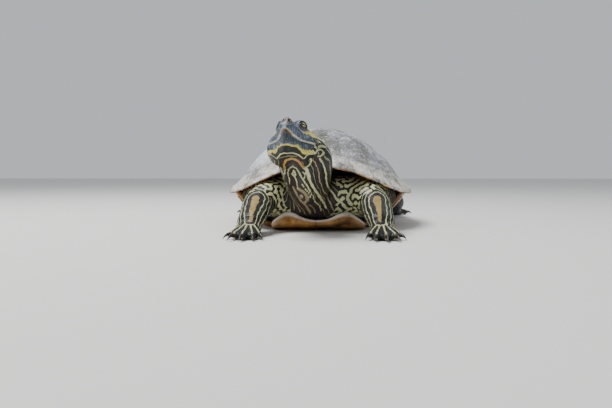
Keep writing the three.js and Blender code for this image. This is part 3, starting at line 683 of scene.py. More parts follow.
HEAD_PROFILE = {  # way back from the beak's tip, and half width or height there
    "half": [(-1, 5.2), (2, 6.2), (6, 8.6), (12, 11.6), (18, 15.4), (24, 17.4), (30, 17.6), (37, 15)],
    "top": [(-1, 9.6), (2, 10.8), (6, 11.2), (12, 12.6), (18, 15), (24, 16.4), (30, 16.4), (37, 13)],
    "bottom": [(-1, 2.6), (2, 5.4), (6, 7.2), (12, 8.6), (20, 10.2), (30, 12), (37, 12.6)],
    "narrow": [(-1, 0.25), (6, 0.42), (12, 0.36), (17, 0.14), (24, 0.06), (37, 0.05)],
}


def head_profile(name):
    """A head's measure along its path, which runs from the nape to the snout."""
    curve = through(HEAD_PROFILE[name])
    return lambda t: curve(HEAD_LENGTH - (HEAD_LENGTH + SNOUT) * t)


head = Limb(
    path=head_place([(0, HEAD_LENGTH, 0), (0, HEAD_LENGTH / 2, 0), (0, -SNOUT, 0)]),
    up=head_place([(0, 0, 1)])[0] - BEAK_TIP,
    half=head_profile("half"),
    top=head_profile("top"),
    bottom=head_profile("bottom"),
    narrow=head_profile("narrow"),
    square=2.2,
    caps=(0.25, 0.07),
)
neck = Limb(
    path=[
        (0, -50, 26), (-3, -78, 25.5), (-6, -97, 34), (-6.5, -111, 47), (-9, -120, 56.5),
        (-13.5, -127, 60.5),
    ],  # fmt: skip
    up=(0, 1, 1),
    half=through([(0, 16), (0.3, 15), (0.5, 14.8), (0.78, 18.4), (0.9, 18.2), (1, 16)]),
    top=through([(0, 13), (0.4, 12.5), (0.7, 14.5), (0.85, 16.5), (1, 16)]),
    bottom=through([(0, 13), (0.4, 13.5), (0.7, 14), (0.85, 12.5), (1, 11)]),
    caps=(0.1, 0.2),
)
tail = Limb(
    path=[(0, 66, 22), (1, 84, 18), (5, 104, 10), (14, 121, 4), (22, 130, 2.2)],
    up=(0, 0, 1),
    half=through([(0, 12), (0.3, 9), (0.6, 5.4), (1, 1.8)]),
    top=through([(0, 12), (0.3, 9), (0.6, 5.4), (1, 1.8)]),
    caps=(0.1, 0.05),
)


def mirrored(side, points):
    return [(x * side, y, z) for x, y, z in points]


def foreleg(side):
    path = [(8, -56, 24), (23, -72, 25), (34, -82, 25), (41, -92, 21), (43, -107, 14), (44, -123, 8.5)]
    return Limb(
        path=mirrored(side, path),
        up=(0.15 * side, -0.35, 1),
        half=through([(0, 15), (0.3, 15), (0.55, 11.6), (0.75, 10.2), (1, 8.8)]),
        top=through([(0, 13), (0.3, 14), (0.55, 11), (0.75, 8.4), (1, 6)]),
        caps=(0.12, 0.08),
    )


def hindleg(side):
    path = [(14, 56, 24), (36, 62, 25), (55, 60, 22), (66, 66, 16), (67, 82, 11), (66, 95, 8)]
    return Limb(
        path=mirrored(side, path),
        up=(0.2 * side, 0.2, 1),
        half=through([(0, 15), (0.3, 15), (0.55, 13), (0.8, 10), (1, 8)]),
        top=through([(0, 12), (0.3, 13), (0.55, 11), (0.8, 8), (1, 5.6)]),
        caps=(0.12, 0.08),
    )


class Foot:
    """A flat palm with toes that fan out from it, joined by a web. The palm is given by its length
    and half its width and thickness. Angles, lengths and claws go by toe, and the web is given by
    the share of the toes that it reaches along."""

    def __init__(self, side, wrist, heading, palm, angles, lengths, toe_radius, claws, web):
        turn = math.radians(heading) * side
        self.wrist = np.array((wrist[0] * side, wrist[1], 0))
        self.wrist_height = wrist[2]
        self.turn = np.array(Matrix.Rotation(turn, 3, "Z"))
        self.palm_length, self.palm_half, self.palm_thick = palm
        self.angles = [math.radians(a) * side for a in angles]
        self.lengths, self.toe_radius = lengths, toe_radius
        self.claws, self.web = claws, web

    def place(self, points):
        """From the foot's own frame, which runs forwards from the wrist, to the body's."""
        return np.asarray(points, float) @ self.turn.T + self.wrist

    def on_toe(self, toe, distance, height):
        angle = self.angles[toe]
        return (math.sin(angle) * distance, -math.cos(angle) * distance, height)

    def toe(self, i):
        reach, r = self.lengths[i], self.toe_radius
        bends = [(0.3, r + 2), (0.62, r + 1.9), (0.86, r + 0.9), (1, r - 0.1)]
        return Limb(
            path=self.place([self.on_toe(i, reach * share, height) for share, height in bends]),
            up=(0, 0, 1),
            half=through([(0, r * 1.1), (0.45, r * 0.98), (0.7, r * 1.1), (1, r * 0.95)]),
            top=through([(0, r), (0.45, r * 0.92), (0.7, r * 1.08), (1, r * 0.9)]),
            caps=(0.15, 0.2),
        )

    def palm(self):
        length, half, thick = self.palm_length, self.palm_half, self.palm_thick
        return Limb(
            path=self.place([(0, 5, self.wrist_height), (0, -length * 0.4, 5), (0, -length, 3.4)]),
            up=(0, 0, 1),
            half=lambda t: half * (0.82 + 0.3 * t),
            top=lambda t: thick * (1.1 - 0.45 * t),
            bottom=lambda t: thick * (1.1 - 0.2 * t),
            square=2.4,
            caps=(0.25, 0.25),
        )

    def web_between(self, i):
        """A thin flap of skin between two toes."""
        middle = (self.angles[i] + self.angles[i + 1]) / 2
        reach = min(self.lengths[i], self.lengths[i + 1]) * self.web
        spread = abs(self.angles[i + 1] - self.angles[i])
        way = np.array((math.sin(middle), -math.cos(middle), 0)) * reach
        bends = [(0.25, 3.6), (0.7, 3.0), (1.0, 2.2)]
        return Limb(
            path=self.place([way * share + (0, 0, height) for share, height in bends]),
            up=(0, 0, 1),
            half=lambda t: 0.6 + spread * reach * (0.25 + 0.75 * t) * 0.52,
            top=lambda t: 1.0 + 0 * t,
            caps=(0.1, 0.12),
        )

    def add_to(self, bm):
        add_ball(bm, self.palm().surface, 40, 32)
        for i in range(len(self.angles)):
            add_ball(bm, self.toe(i).surface, 24, 24)
        for i in range(len(self.angles) - 1):
            add_ball(bm, self.web_between(i).surface, 24, 16)


def forefoot(side):
    return Foot(
        side,
        wrist=(44, -120, 8.5),
        heading=3,
        palm=(18, 9, 4.8),
        angles=(-30, -15, 0, 15, 31),
        lengths=(19, 24, 26, 24, 19),
        toe_radius=2.4,
        claws=(6.6, 8.2, 8.6, 8.2, 6.6),
        web=0.68,
    )


def hindfoot(side):
    return Foot(
        side,
        wrist=(66, 91, 8),
        heading=155,
        palm=(24, 9.5, 4.4),
        angles=(-30, -13, 4, 21),
        lengths=(24, 29, 31, 29),
        toe_radius=2.4,
        claws=(6, 6.5, 6.5, 5.6),
        web=0.88,
    )


forelegs = {tag: foreleg(side) for tag, side in SIDES.items()}
hindlegs = {tag: hindleg(side) for tag, side in SIDES.items()}
forefeet = {tag: forefoot(side) for tag, side in SIDES.items()}
hindfeet = {tag: hindfoot(side) for tag, side in SIDES.items()}

EYE_RADIUS, LID_RADIUS = 4.2, 5.0
EYE_CENTRE = np.array((5.6, 14, 10.3))
EYE_LOOK = np.array((0.74, -0.63, 0.08)) / np.linalg.norm((0.74, -0.63, 0.08))
TRUNK_REACH, TRUNK_LEVEL, TRUNK_CLEAR, TRUNK_DROP = 0.84, 22, 1.5, 4
COWLS = [  # half a path across the body, and half its width and thickness
    ([(58, -42, 25), (22, -73, 25.5)], 16, 16),
    ([(50, 58, 22), (20, 72, 22)], 14, 13),
]


def trunk_place(unit):
    """The body inside the shell, between the vault and the plastron."""
    level = unit[:, 2]
    rho = np.sqrt(np.clip(1 - level**2, 0, 1)) * TRUNK_REACH
    bearing = np.arctan2(unit[:, 0], -unit[:, 1])
    x, y = rim(bearing)
    x, y = x * rho, y * rho
    roof = dome_height(rho, bearing) - SHELL_THICKNESS - TRUNK_CLEAR - TRUNK_DROP * (1 - rho)
    wall = np.where(level > 0, roof, plastron_over(x, y) + TRUNK_CLEAR)
    return np.stack([x, y, TRUNK_LEVEL + (wall - TRUNK_LEVEL) * np.abs(level) ** 0.6], 1)


def cowl(points, half, thick):
    """Loose skin across the body where the neck and the limbs leave the shell."""
    return Limb(
        path=mirrored(-1, points) + points[::-1],
        up=(0, 0, 1),
        half=lambda t: half + 0 * t,
        top=lambda t: thick + 0 * t,
        caps=(0.3, 0.3),
    )


def build_flesh():
    """All the bodies that the skin covers, still apart."""
    bm = bmesh.new()
    add_ball(bm, head.surface, 64, 80)
    for limb in (neck, tail, *forelegs.values(), *hindlegs.values()):
        add_ball(bm, limb.surface)
    for foot in (*forefeet.values(), *hindfeet.values()):
        foot.add_to(bm)
    for side in SIDES.values():
        eye = head_place([EYE_CENTRE * (side, 1, 1)])[0]
        add_ball(bm, lambda unit: unit * LID_RADIUS + eye, 32, 16)
    add_ball(bm, trunk_place)
    for points, half, thick in COWLS:
        add_ball(bm, cowl(points, half, thick).surface)
    return new_piece("skin", bm)


def with_modifier(piece, kind, **settings):
    """Apply a modifier to a piece."""
    modifier = piece.modifiers.new(kind.lower(), kind)
    for key, value in settings.items():
        setattr(modifier, key, value)
    graph = bpy.context.evaluated_depsgraph_get()
    mesh = bpy.data.meshes.new_from_object(piece.evaluated_get(graph))
    piece.modifiers.clear()
    old, piece.data = piece.data, mesh
    bpy.data.meshes.remove(old)


def edge_ends(mesh):
    """The two points of each edge, as two rows."""
    return read_all(mesh.edges, "vertices", 2).T


def neighbour_mean(ends, values):
    """The mean of each point's neighbours."""
    a, b = ends
    size = len(values)
    count = np.maximum(1, np.bincount(a, minlength=size) + np.bincount(b, minlength=size))
    columns = values.reshape(size, -1).T
    sums = [np.bincount(a, c[b], size) + np.bincount(b, c[a], size) for c in columns]
    return (np.array(sums) / count).T.reshape(values.shape)


def refine(piece, chosen):
    """Halve the edges whose two points are chosen."""
    bm = bmesh.new()
    bm.from_mesh(piece.data)
    edges = [e for e in bm.edges if chosen[e.verts[0].index] and chosen[e.verts[1].index]]
    bmesh.ops.subdivide_edges(bm, edges=edges, cuts=1, use_grid_fill=True)
    bm.to_mesh(piece.data)
    bm.free()


def in_head(co):
    """From the body's frame to the head's own: left, behind the beak's tip, up."""
    return (co - BEAK_TIP) @ HEAD_AXES


mouth_height = through([(-3, 0.3), (0, 0), (8, -0.8), (15, -0.4), (20, 0.4), (24, 1)])
MOUTH_CORNER = 20
# How much narrower the head is at the mouth than above it: the jaws are a V between the cheeks.
jaw_share = through([(-1, 0.32), (2, 0.4), (8, 0.6), (12.5, 0.7), (15.5, 0.86), (19, 1), (24, 1)])
JAWS_HEIGHT = 9  # of the part of the head that the mouth's relief reaches
GAPE_DEPTH, GAPE_HALF = 0.75, 0.42
BEAK_EDGE_RISE, BEAK_EDGE_ABOVE, BEAK_EDGE_HALF = 0.28, 0.85, 0.5
JAW_SET_BACK, JAW_FADE = 0.55, 1.4
NOSTRIL = np.array((2.05, 0, 7.3))
PIT_DEPTH, PIT_HALF = 1.4, 0.6
PIT_RIM_RISE, PIT_RIM_OUT, PIT_RIM_HALF = 0.3, 1.2, 0.4
EAR = np.array((15.3, 26, 1))
EAR_RADIUS, EAR_DEPTH, EAR_EDGE_RISE, EAR_EDGE_HALF = 4.3, 0.35, 0.2, 0.7
LIDS_OPEN = (0.78, 0.68)  # tangents of the half angles along and across the opening
LIDS_SINK = 0.35
LID_EDGE = (0.3, 1.28, 0.16)  # rise, and in openings: how far out and how wide
LID_FOLD = (0.28, 1.75, 0.14)
SOCKET_DEPTH = 0.7  # behind the front of the eye
EYE_REACH = 7.5  # from the eye's middle, within which the lids are shaped


def eye_view(h, side):
    """Distance from the eye's middle, the place along and across the opening, and how far out."""
    off = h - EYE_CENTRE * (side, 1, 1)
    look = EYE_LOOK * (side, 1, 1)
    along = np.cross((0, 0, 1), look)
    along /= np.linalg.norm(along)
    out = off @ look
    facing = np.maximum(out, 0.5)
    return np.linalg.norm(off, axis=1), off @ along / facing, off @ np.cross(look, along) / facing, out


def pinch_jaws(h):
    """Draw the head in towards the mouth and below it."""
    share = jaw_share(h[:, 1])
    pinch = 1 - (1 - share) * smoothstep(h[:, 2], 5, -0.5)
    return h * np.stack([pinch, np.ones(len(h)), np.ones(len(h))], 1)


def nostril_gap(h, side):
    """Distance from a nostril's middle, in the plane of its opening for the most part."""
    off = (h - NOSTRIL * (side, 1, 1)) * (1, 0.3, 1)
    return np.linalg.norm(off, axis=1)


def sculpt_head(co, normal):
    """Work the mouth, the nostrils, the ears and then the lids into the head."""
    h = in_head(co)
    push = np.zeros(len(co))
    from_line = h[:, 2] - mouth_height(h[:, 1])
    jaws = smoothstep(h[:, 1], MOUTH_CORNER + 1, MOUTH_CORNER - 1) * (np.abs(from_line) < JAWS_HEIGHT)
    push -= GAPE_DEPTH * bump(from_line, GAPE_HALF) * jaws
    push += BEAK_EDGE_RISE * bump(from_line - BEAK_EDGE_ABOVE, BEAK_EDGE_HALF) * jaws
    push -= np.where(from_line < 0, JAW_SET_BACK * np.exp(from_line / JAW_FADE), 0) * jaws
    for side in SIDES.values():
        pit = nostril_gap(h, side)
        push -= PIT_DEPTH * bump(pit, PIT_HALF)
        push += PIT_RIM_RISE * bump(pit - PIT_RIM_OUT, PIT_RIM_HALF)
        ear = np.linalg.norm((h - EAR * (side, 1, 1)) * (0.5, 1, 1), axis=1)
        sunk = EAR_DEPTH * smoothstep(ear, EAR_RADIUS, EAR_RADIUS - 1.2)
        push -= sunk - EAR_EDGE_RISE * bump(ear - EAR_RADIUS, EAR_EDGE_HALF)
    co = co + normal * push[:, None]
    h = in_head(co)
    for side in SIDES.values():
        far, along, across, out = eye_view(h, side)
        open_to = np.sqrt((along / LIDS_OPEN[0]) ** 2 + (across / LIDS_OPEN[1]) ** 2)
        near = (out > 0) & (far < EYE_REACH)
        (rise, edge, edge_half), (dip, fold, fold_half) = LID_EDGE, LID_FOLD
        lids = LID_RADIUS - LIDS_SINK + rise * bump(open_to - edge, edge_half)
        lids = lids - dip * bump(open_to - fold, fold_half)
        floor = EYE_RADIUS - SOCKET_DEPTH
        reach = floor + (lids - floor) * smoothstep(open_to, 0.9, 1.1)
        pull = smoothstep(open_to, 2.1, 1.5) * near
        ray = (h - EYE_CENTRE * (side, 1, 1)) / far[:, None]
        h = h + ray * ((reach - far) * pull)[:, None]
    return head_place(h)


VOXEL = 1.05
SKIN_CLEAR = 0.4  # between the skin and the shell
OVER_FLOOR = 0.1  # between the skin or its scales and the floor
ROOF_LIFT = 6000  # how fast the vault's hold ends beyond the rim, by the square of the share
HIDDEN_RHO, HIDDEN_OVER = 0.78, 6  # flesh further in and higher than this, inside the shell,
FACES_KEPT = 0.58  # is thinned out until the skin has this share of its faces
HEAD_BACK, FACE_BACK = 33, 22  # behind the beak's tip, how far the skin is refined, and again
HEAD_SIDES, HEAD_BELOW = 24, 26  # how far out and down from its own axes the head may be
FINE_MOUTH, FINE_NOSTRIL = 2.2, 2.6  # reach of the finest faces


def held_in_shell(co):
    """Flesh kept under the vault, over the plastron and above the floor."""
    rho, bearing = shell_polar(co[:, 0], co[:, 1])
    beyond = np.maximum(0, rho - 1)
    roof = dome_height(np.minimum(rho, 1), bearing) - SHELL_THICKNESS - SKIN_CLEAR + ROOF_LIFT * beyond**2
    plan_bearing = np.degrees(np.arctan2(np.abs(co[:, 0]), -co[:, 1]))
    over_bed = np.hypot(co[:, 0], co[:, 1]) < plastron_radius(plan_bearing) + 1
    bed = np.where(over_bed, plastron_over(co[:, 0], co[:, 1]) + SKIN_CLEAR, OVER_FLOOR)
    high = np.maximum(np.minimum(co[:, 2], roof), bed)
    return np.column_stack([co[:, :2], high]), rho


skin = build_flesh()
with_modifier(skin, "REMESH", mode="VOXEL", voxel_size=VOXEL, use_smooth_shade=True)
with_modifier(skin, "SMOOTH", factor=0.5, iterations=6)
co, rho = held_in_shell(points_of(skin.data))
move_points(skin.data, co)
hidden = skin.vertex_groups.new(name="hidden")
hidden.add(np.flatnonzero((rho < HIDDEN_RHO) & (co[:, 2] > HIDDEN_OVER)).tolist(), 1.0, "REPLACE")
with_modifier(skin, "DECIMATE", ratio=FACES_KEPT, vertex_group="hidden")
skin.vertex_groups.clear()
move_points(skin.data, held_in_shell(points_of(skin.data))[0])


def on_head(co, back):
    """Points in the head's own frame, and whether they are on the head."""
    h = in_head(co)
    return h, (h[:, 1] < back) & (np.abs(h[:, 0]) < HEAD_SIDES) & (h[:, 2] > -HEAD_BELOW)


refine(skin, on_head(points_of(skin.data), HEAD_BACK)[1])
co = points_of(skin.data)
chosen = on_head(co, HEAD_BACK)[1]
for _ in range(3):
    co[chosen] = 0.5 * co[chosen] + 0.5 * neighbour_mean(edge_ends(skin.data), co)[chosen]
h = in_head(co)
co[chosen] = head_place(pinch_jaws(h))[chosen]
move_points(skin.data, co)
h, chosen = on_head(co, FACE_BACK)
fine = np.abs(h[:, 2] - mouth_height(h[:, 1])) < FINE_MOUTH
for side in SIDES.values():
    fine |= np.linalg.norm(h - EYE_CENTRE * (side, 1, 1), axis=1) < EYE_REACH
    fine |= nostril_gap(h, side) < FINE_NOSTRIL
refine(skin, fine & chosen)
move_points(skin.data, sculpt_head(points_of(skin.data), normals_of(skin.data)))

flesh_nodes = ["head", "lower_jaw", "neck", "trunk", "tail"]
flesh_nodes += [f"{part}_{tag}" for part in ("foreleg", "forefoot", "hindleg", "hindfoot") for tag in SIDES]
settle(skin, "skin", *flesh_nodes)

# The markings of the living skin are pale lines on navy black, that run along the neck and close
# in arches under the chin, wind over the shoulders and thighs, and run down the limbs to the toes.
spine = Limb(
    path=[(0, -62, 27), (-3, -84, 28), (-8, -103, 37), (-11, -115, 47.5)]
    + [tuple(p) for p in head_place([(0, 24, 0), (0, 12, -1), (0, -1, 0)])],
    up=(0, 1, 1),
    half=None,
    top=None,
)
ARCH_AT = 33  # the chin's lines bend across in front of this, in mm behind the beak's tip
ARCH_KNOTS = [
    (-1, 0), (0, 0), (1.5, 2.2), (3, 3.2), (8.5, 4.3), (13.5, 5.2), (15.5, 7.4), (18, 10.5),
    (20.5, 12.5), (34, 28),
]  # fmt: skip
THROAT_MIDDLE = [(25, 0), (36, 2.2), (40, 3.4), (48, 5.5), (62, 7)]  # its drift to the right
THROAT_SPREAD = [(33, 0), (38, 1.7), (48, 3.8), (62, 4.2)]
CHIN_BAR = [(0, 5.4), (2, 6.2), (5, 9.6), (7.5, 12.9), (10, 15.3), (12, 16.6), (14, 19.5), (16, 26)]
ARCH_POWER = 1.6  # how square the arches are
LINES_CLOSER, SPREAD_OVER = 0.83, 3.3  # how the lines close up, and spread beside the middle
WANDER_SHARE = 0.4  # of the wander, which goes into the lines and again across them
THROAT_REACH, PAST_THROAT = 30, 99  # skin further from the spine takes no strokes
PATTERN_LENGTH = 4.5  # from one winding line to the next
SHOULDER_EYE = (17, -74, 40)  # the winding lines run round this spot beside the neck
SETTLING_ROUNDS, SETTLING_GAIN = 36, 2.6
NEAR_ROUNDS, FAR_ROUNDS = 1, 4  # of averaging, which set the winding lines' spacing
SEED_HOLD = 0.05  # how far the lines keep to where they started
PALE_WIDTH = 0.16  # how much wider the pale winding lines are than the dark ones
NECK_RADIUS = 19
BAND_SPAN = 50  # mm that the ramps of bands cover
FAR_OFF = 20.0  # stands for a point well away from a line

PAINTS = {
    "black": "#13171c",
    "brown": "#3a2a29",
    "green": "#d9dba3",
    "olive": "#96976c",
    "ochre": "#cb983f",
    "sand": "#ab9770",
    "tan": "#b59a55",
    "cream": "#ddd4bd",
    "yellow": "#f2e263",
    "amber": "#a8713a",
    "shade": "#1c120b",
    # painted shade in the slit of the closed mouth
    "mouth_shade": "#1b1411",
    "nostril": "#7a5230",
    # painted shade inside the nostrils
    "pit": "#120c09",
}
NECK_BANDS = [  # from the throat's middle line outwards, where each paint starts
    (0, "brown"), (2.7, "black"), (3.3, "brown"), (5.9, "black"), (6.5, "sand"), (6.9, "black"),
    (7.5, "brown"), (8.8, "black"), (10.2, "olive"), (10.8, "black"), (11.8, "brown"), (12.6, "black"),
    (13.4, "sand"), (14.3, "black"), (15.2, "brown"), (16.2, "black"), (18.4, "green"), (20, "black"),
    (20.9, "brown"), (22.3, "black"), (23.4, "olive"), (24.2, "black"), (27.4, "green"), (28.3, "black"),
    (31.6, "olive"), (32.4, "black"), (35.8, "green"), (36.7, "black"), (40.2, "olive"), (41, "black"),
    (44.8, "green"), (45.8, "black"),
]  # fmt: skip
LIMB_BANDS = [  # from the middle of a limb's pale band
    (0, "tan"), (2.7, "black"), (5.9, "green"), (6.8, "black"), (9.7, "green"), (10.5, "black"),
    (13.2, "green"), (14, "black"), (17, "olive"), (18, "black"),
]  # fmt: skip
CELL_STOPS = [(0.02, "#7d766a"), (0.16, "#ffffff")]
CLOUD_STOPS = [(0.3, "#8d8172"), (0.7, "#ffffff")]
# The limbs, and of each where its lines start along it, how far round its pale band lies and by
# how much that band is narrower.
LIMB_LINES = [(forelegs, forefeet, 53, -2, 0), (hindlegs, hindfeet, 48, 3, 1.5)]
TOE_BAND = 6.25  # the place in the limb's bands that a toe's middle takes
TAIL_BAND, TAIL_SPREAD = 3.3, 8  # that of the tail's top, and how fast they go by round it
LID_SPAN = 4  # openings that the ramp below covers
# the lids: dark rims and grey skin, the pale lilac rings partly painted highlight on the lid's raised edge
# and curve
LID_STOPS = [(0.24, "#0e0d10"), (0.29, "#17161a"), (0.32, "#8d93a3"), (0.4, "#3a3f4a"), (0.5, "#a9adb9")]
# the horn: slate with lighter streaks, its near-white top stop painted highlight on the scratches
HORN_STOPS = [(0.3, "#1b232f"), (0.42, "#394758"), (0.52, "#586a7d"), (0.61, "#8696a5"), (0.7, "#d2d9df")]
# Strokes by the field that keeps them: where they are drawn, half their width and their line.
# Those on the side of the head go by way back and height from the beak's tip, those on the chin
# by way out and way back, and those on the throat by way round from its middle and way back.
STROKES = {
    "gold": [
        ("side", 0.6, [(11.2, 5), (13, 5.7)]),
        ("side", 1.1, [(13, 5.9), (15.6, 6.9), (18.4, 7.2), (21, 7.6), (24, 10.2)]),
        ("side", 2.0, [(17.2, 7.3), (20.2, 8.2)]),
        ("side", 0.9, [(19.2, 8.4), (18.8, 11), (18, 13.4)]),
    ],
    "green_stroke": [
        ("side", 0.8, [(24, 10.2), (30, 8.8), (38, 6)]),
        ("side", 0.75, [(18.7, -4.4), (21.5, -4.6), (22.4, -1.7), (24.4, 1.9), (27.2, 4.2), (30, 4.6)]),
        ("side", 0.5, [(24.6, -0.6), (26.4, 1.2), (28.6, 0.2), (28.3, -2.6), (26, -4)]),
        ("side", 0.7, [(23.6, 5.6), (25.6, 6)]),
        ("side", 0.6, [(14, 14), (20, 16), (30, 17.5)]),
        ("side", 0.6, [(20, 13.5), (25, 13), (36, 13)]),
        ("side", 0.5, [(27, 11.4), (38, 9.8)]),
        ("chin", 0.42, [
            (0, 13.7), (2.9, 13.8), (6, 16.1), (7.6, 18.5), (9, 20.7), (11.3, 19), (13.5, 19.5),
        ]),
        ("throat", 0.95, [(12.8, 24.3), (13.9, 28), (12.3, 31.5), (10.1, 33.2)]),
        ("throat", 1.25, [(7.2, 33), (8.8, 34.9), (10, 37.5), (11, 41.8)]),
        ("throat", 0.9, [(11, 41.8), (12.6, 45.5), (13.6, 49), (15.4, 54), (16.6, 60), (16.2, 76)]),
        ("throat", 0.5, [(-6.6, 32.4), (-7.7, 36.6), (-9.2, 41.5), (-11.1, 49), (-9.6, 53.2), (-9, 76)]),
        ("throat", 0.7, [(-14, 30), (-13.6, 36), (-11.3, 38.6), (-9.6, 40.6)]),
        ("throat", 0.55, [(-3.6, 47), (-3.1, 42.8), (-4.6, 40), (-4.3, 36), (-2.6, 31.6), (0, 30)]),
        ("throat", 0.55, [(0, 30), (1.9, 32), (3.6, 36.8), (6.2, 41.5), (9.5, 47.5), (11.6, 53)]),
        ("throat", 0.45, [(11.6, 53), (12.4, 58), (11.8, 64), (12.8, 70), (12, 78)]),
        ("throat", 0.6, [(-0.1, 34.8), (-1.1, 38), (1.3, 38.8), (0, 34.8)]),
        ("throat", 0.5, [(0.3, 39), (1.8, 42.2), (2.6, 46), (3, 50)]),
        ("throat", 0.4, [(6, 36.6), (7.7, 38.4), (7.9, 40.3), (6.6, 41.6), (8.3, 44.6)]),
        ("throat", 0.45, [(-7.3, 48), (-6.4, 54), (-5, 60), (-5.4, 66), (-4.2, 76)]),
        ("throat", 0.45, [(6.5, 46), (7.6, 49), (10.2, 54.5), (9.8, 58)]),
    ],
    "ochre": [
        ("throat", 0.95, [(-6.6, 32.6), (-6.5, 27), (-4.7, 21), (-2.4, 18), (0, 17.3), (2.2, 18.2)]),
        ("throat", 0.95, [(2.2, 18.2), (3.8, 20.8), (5, 26.8), (6.1, 30.7), (7.4, 33)]),
    ],
    "sand": [
        ("throat", 0.7, [(-0.2, 27.9), (0.2, 28.1)]),
        ("throat", 0.95, [(-0.5, 49), (0.7, 53.1), (1.5, 57), (2.6, 61), (4.2, 66), (3.6, 78)]),
        ("throat", 1.2, [(3, 49.6), (6.4, 52.3), (7.9, 55.5), (7.4, 59.5), (4.5, 63)]),
        ("throat", 1.3, [(4.4, 55.6), (4.5, 56.6)]),
        ("throat", 0.5, [(7, 65.5), (8, 70), (7.4, 78)]),
        ("throat", 0.45, [(-2.8, 60), (-1.4, 66), (-0.6, 78)]),
    ],
    "mark": [
        ("throat", 0.42, [(2.4, 56), (4, 53.2), (6.2, 55.6), (5.6, 58.6), (3.4, 59), (2.4, 56)]),
        ("throat", 0.36, [(7, 62.4), (8.2, 60.4), (9.6, 62.2), (8.4, 64.6), (7, 62.4)]),
        ("throat", 0.8, [(-4.9, 34), (-4.7, 28), (-3, 22), (-0.4, 20), (2, 21.2), (4.2, 28), (6, 34.5)]),
    ],
}
CHIN_BAR_HALF, CHIN_BAR_SLANT, CHIN_BAR_END = 0.7, 0.7, 21
CHIN_SWELL, CHIN_SWELL_OUT, CHIN_SWELL_HALF = 0.55, 9.5, 2.5
CHIN_BAND_HALF, CHIN_BAND_BACK, CHIN_BAND_END = 2.6, 2.4, 24
BEAK_END, BEAK_SLANT, BEAK_HIGH = 19, 0.55, 11.5
JAW_END, JAW_SLANT = 19.5, 0.5
LIP_HIGH, LIP_END = 1.0, 19.2
TIP_HIGH, TIP_END, TIP_SLANT = 0.55, 5, 0.4
GAPE_LOW, GAPE_DARK = 0.25, 0.28
STROKE_MARGIN = 0.7  # of black round every stroke
LID_REACH = 2.15  # in openings
NOSTRIL_RIM, NOSTRIL_PIT = 1.6, 0.62
# Each layer of paint over the plain green: the field that says where, how ragged and how soft
# its edge is, how strongly it covers, and its paint or the ramp of that name.
SKIN_LAYERS = [
    ("winding", 0.75, 0.16, 1, "black"),
    ("on_neck", 0.1, 0.1, 1, "throat"),
    ("on_limb", 0.1, 0.1, 1, "limb"),
    ("chin_band", 1.5, 0.2, 1, "black"),
    ("stroke_edge", 0.8, 0.12, 1, "black"),
    ("sand", 0.9, 0.12, 1, "sand"),
    ("mark", 0.5, 0.12, 1, "black"),
    ("green_stroke", 0.45, 0.12, 1, "green"),
    ("ochre", 0.9, 0.12, 1, "ochre"),
    ("gold", 0.9, 0.12, 1, "yellow"),
    ("beak", 1, 0.25, 1, "horn"),
    ("jaw", 1, 0.8, 0.5, "black"),
    ("lip", 0.3, 0.15, 1, "cream"),
    ("tip", 0.6, 0.25, 1, "amber"),
    # the closed mouth's slit, darkened with painted shade
    ("mouth_shade", 0, 0.15, 1, "mouth_shade"),
    ("lid", 0, 0.25, 0.9, "lid"),
    ("nostril_rim", 0.5, 0.6, 1, "nostril"),
    # the nostril's opening, painted near black as painted shade in the hole
    ("nostril_pit", 0, 0.2, 1, "pit"),
    # painted shade where the skin lies deep under the shell and on the flanks
    ("deep", 0, 0.5, 0.92, "shade"),
]


def throat_lines(co):
    """Way round the neck from under its middle, bent into arches below the chin, the way back
    from the beak's tip, and both as places for the throat's strokes."""
    along, left, up = spine.coordinates(co)
    behind = spine.length - along - 1
    radius = np.clip(np.hypot(left, up), 6, NECK_RADIUS)
    across = np.arctan2(left, -up) * radius + through(THROAT_MIDDLE)(behind)
    wander = 0.9 * waves(co, 16, seed=11) + 0.4 * waves(co, 6, seed=12)
    arc = LINES_CLOSER * np.abs(across + WANDER_SHARE * wander)
    arc -= through(THROAT_SPREAD)(behind) * (1 - np.exp(-arc / SPREAD_OVER))
    rise = through(ARCH_KNOTS)(np.clip(ARCH_AT - behind, -1, 34))
    arches = np.maximum(0, arc) ** ARCH_POWER + np.maximum(0, rise) ** ARCH_POWER
    lines = arches ** (1 / ARCH_POWER) + WANDER_SHARE * wander
    behind_there = np.where(np.hypot(left, up) < THROAT_REACH, behind, PAST_THROAT)
    return np.maximum(0, lines), behind, np.column_stack([across, behind_there])


def face_corners(mesh):
    """The pairs of points across each four-sided face."""
    quads = np.array([tuple(face.vertices) for face in mesh.polygons if len(face.vertices) == 4])
    return np.concatenate([quads[:, (0, 2)], quads[:, (1, 3)]]).T


def limb_lines(limb, co, start, medial):
    """Way across a limb from the middle of its pale band, closed in an arch at its start."""
    along, sideways, upward = limb.coordinates(co)
    radius = np.hypot(sideways, upward)
    arc = np.arctan2(sideways, upward) * np.clip(radius, 4, 14) - medial
    wander = 0.35 * waves(co, 9, seed=21) + 0.2 * waves(co, 4, seed=22)
    return np.hypot(arc, np.maximum(0, start - along)) + wander, along, radius


def winding_lines(piece, seed_field):
    """A labyrinth that settles on the surface by itself, from points that help their near
    neighbours and hinder the further ones."""
    ends = np.concatenate([edge_ends(piece.data), face_corners(piece.data)], 1)
    winding = seed_field
    for _ in range(SETTLING_ROUNDS):
        near = winding
        for _ in range(NEAR_ROUNDS):
            near = 0.5 * near + 0.5 * neighbour_mean(ends, near)
        far = near
        for _ in range(FAR_ROUNDS):
            far = 0.4 * far + 0.6 * neighbour_mean(ends, far)
        winding = np.tanh(SETTLING_GAIN * (near - far) + SEED_HOLD * seed_field)
    winding = 0.5 * winding + 0.5 * neighbour_mean(ends, winding)
    return winding / np.std(winding)


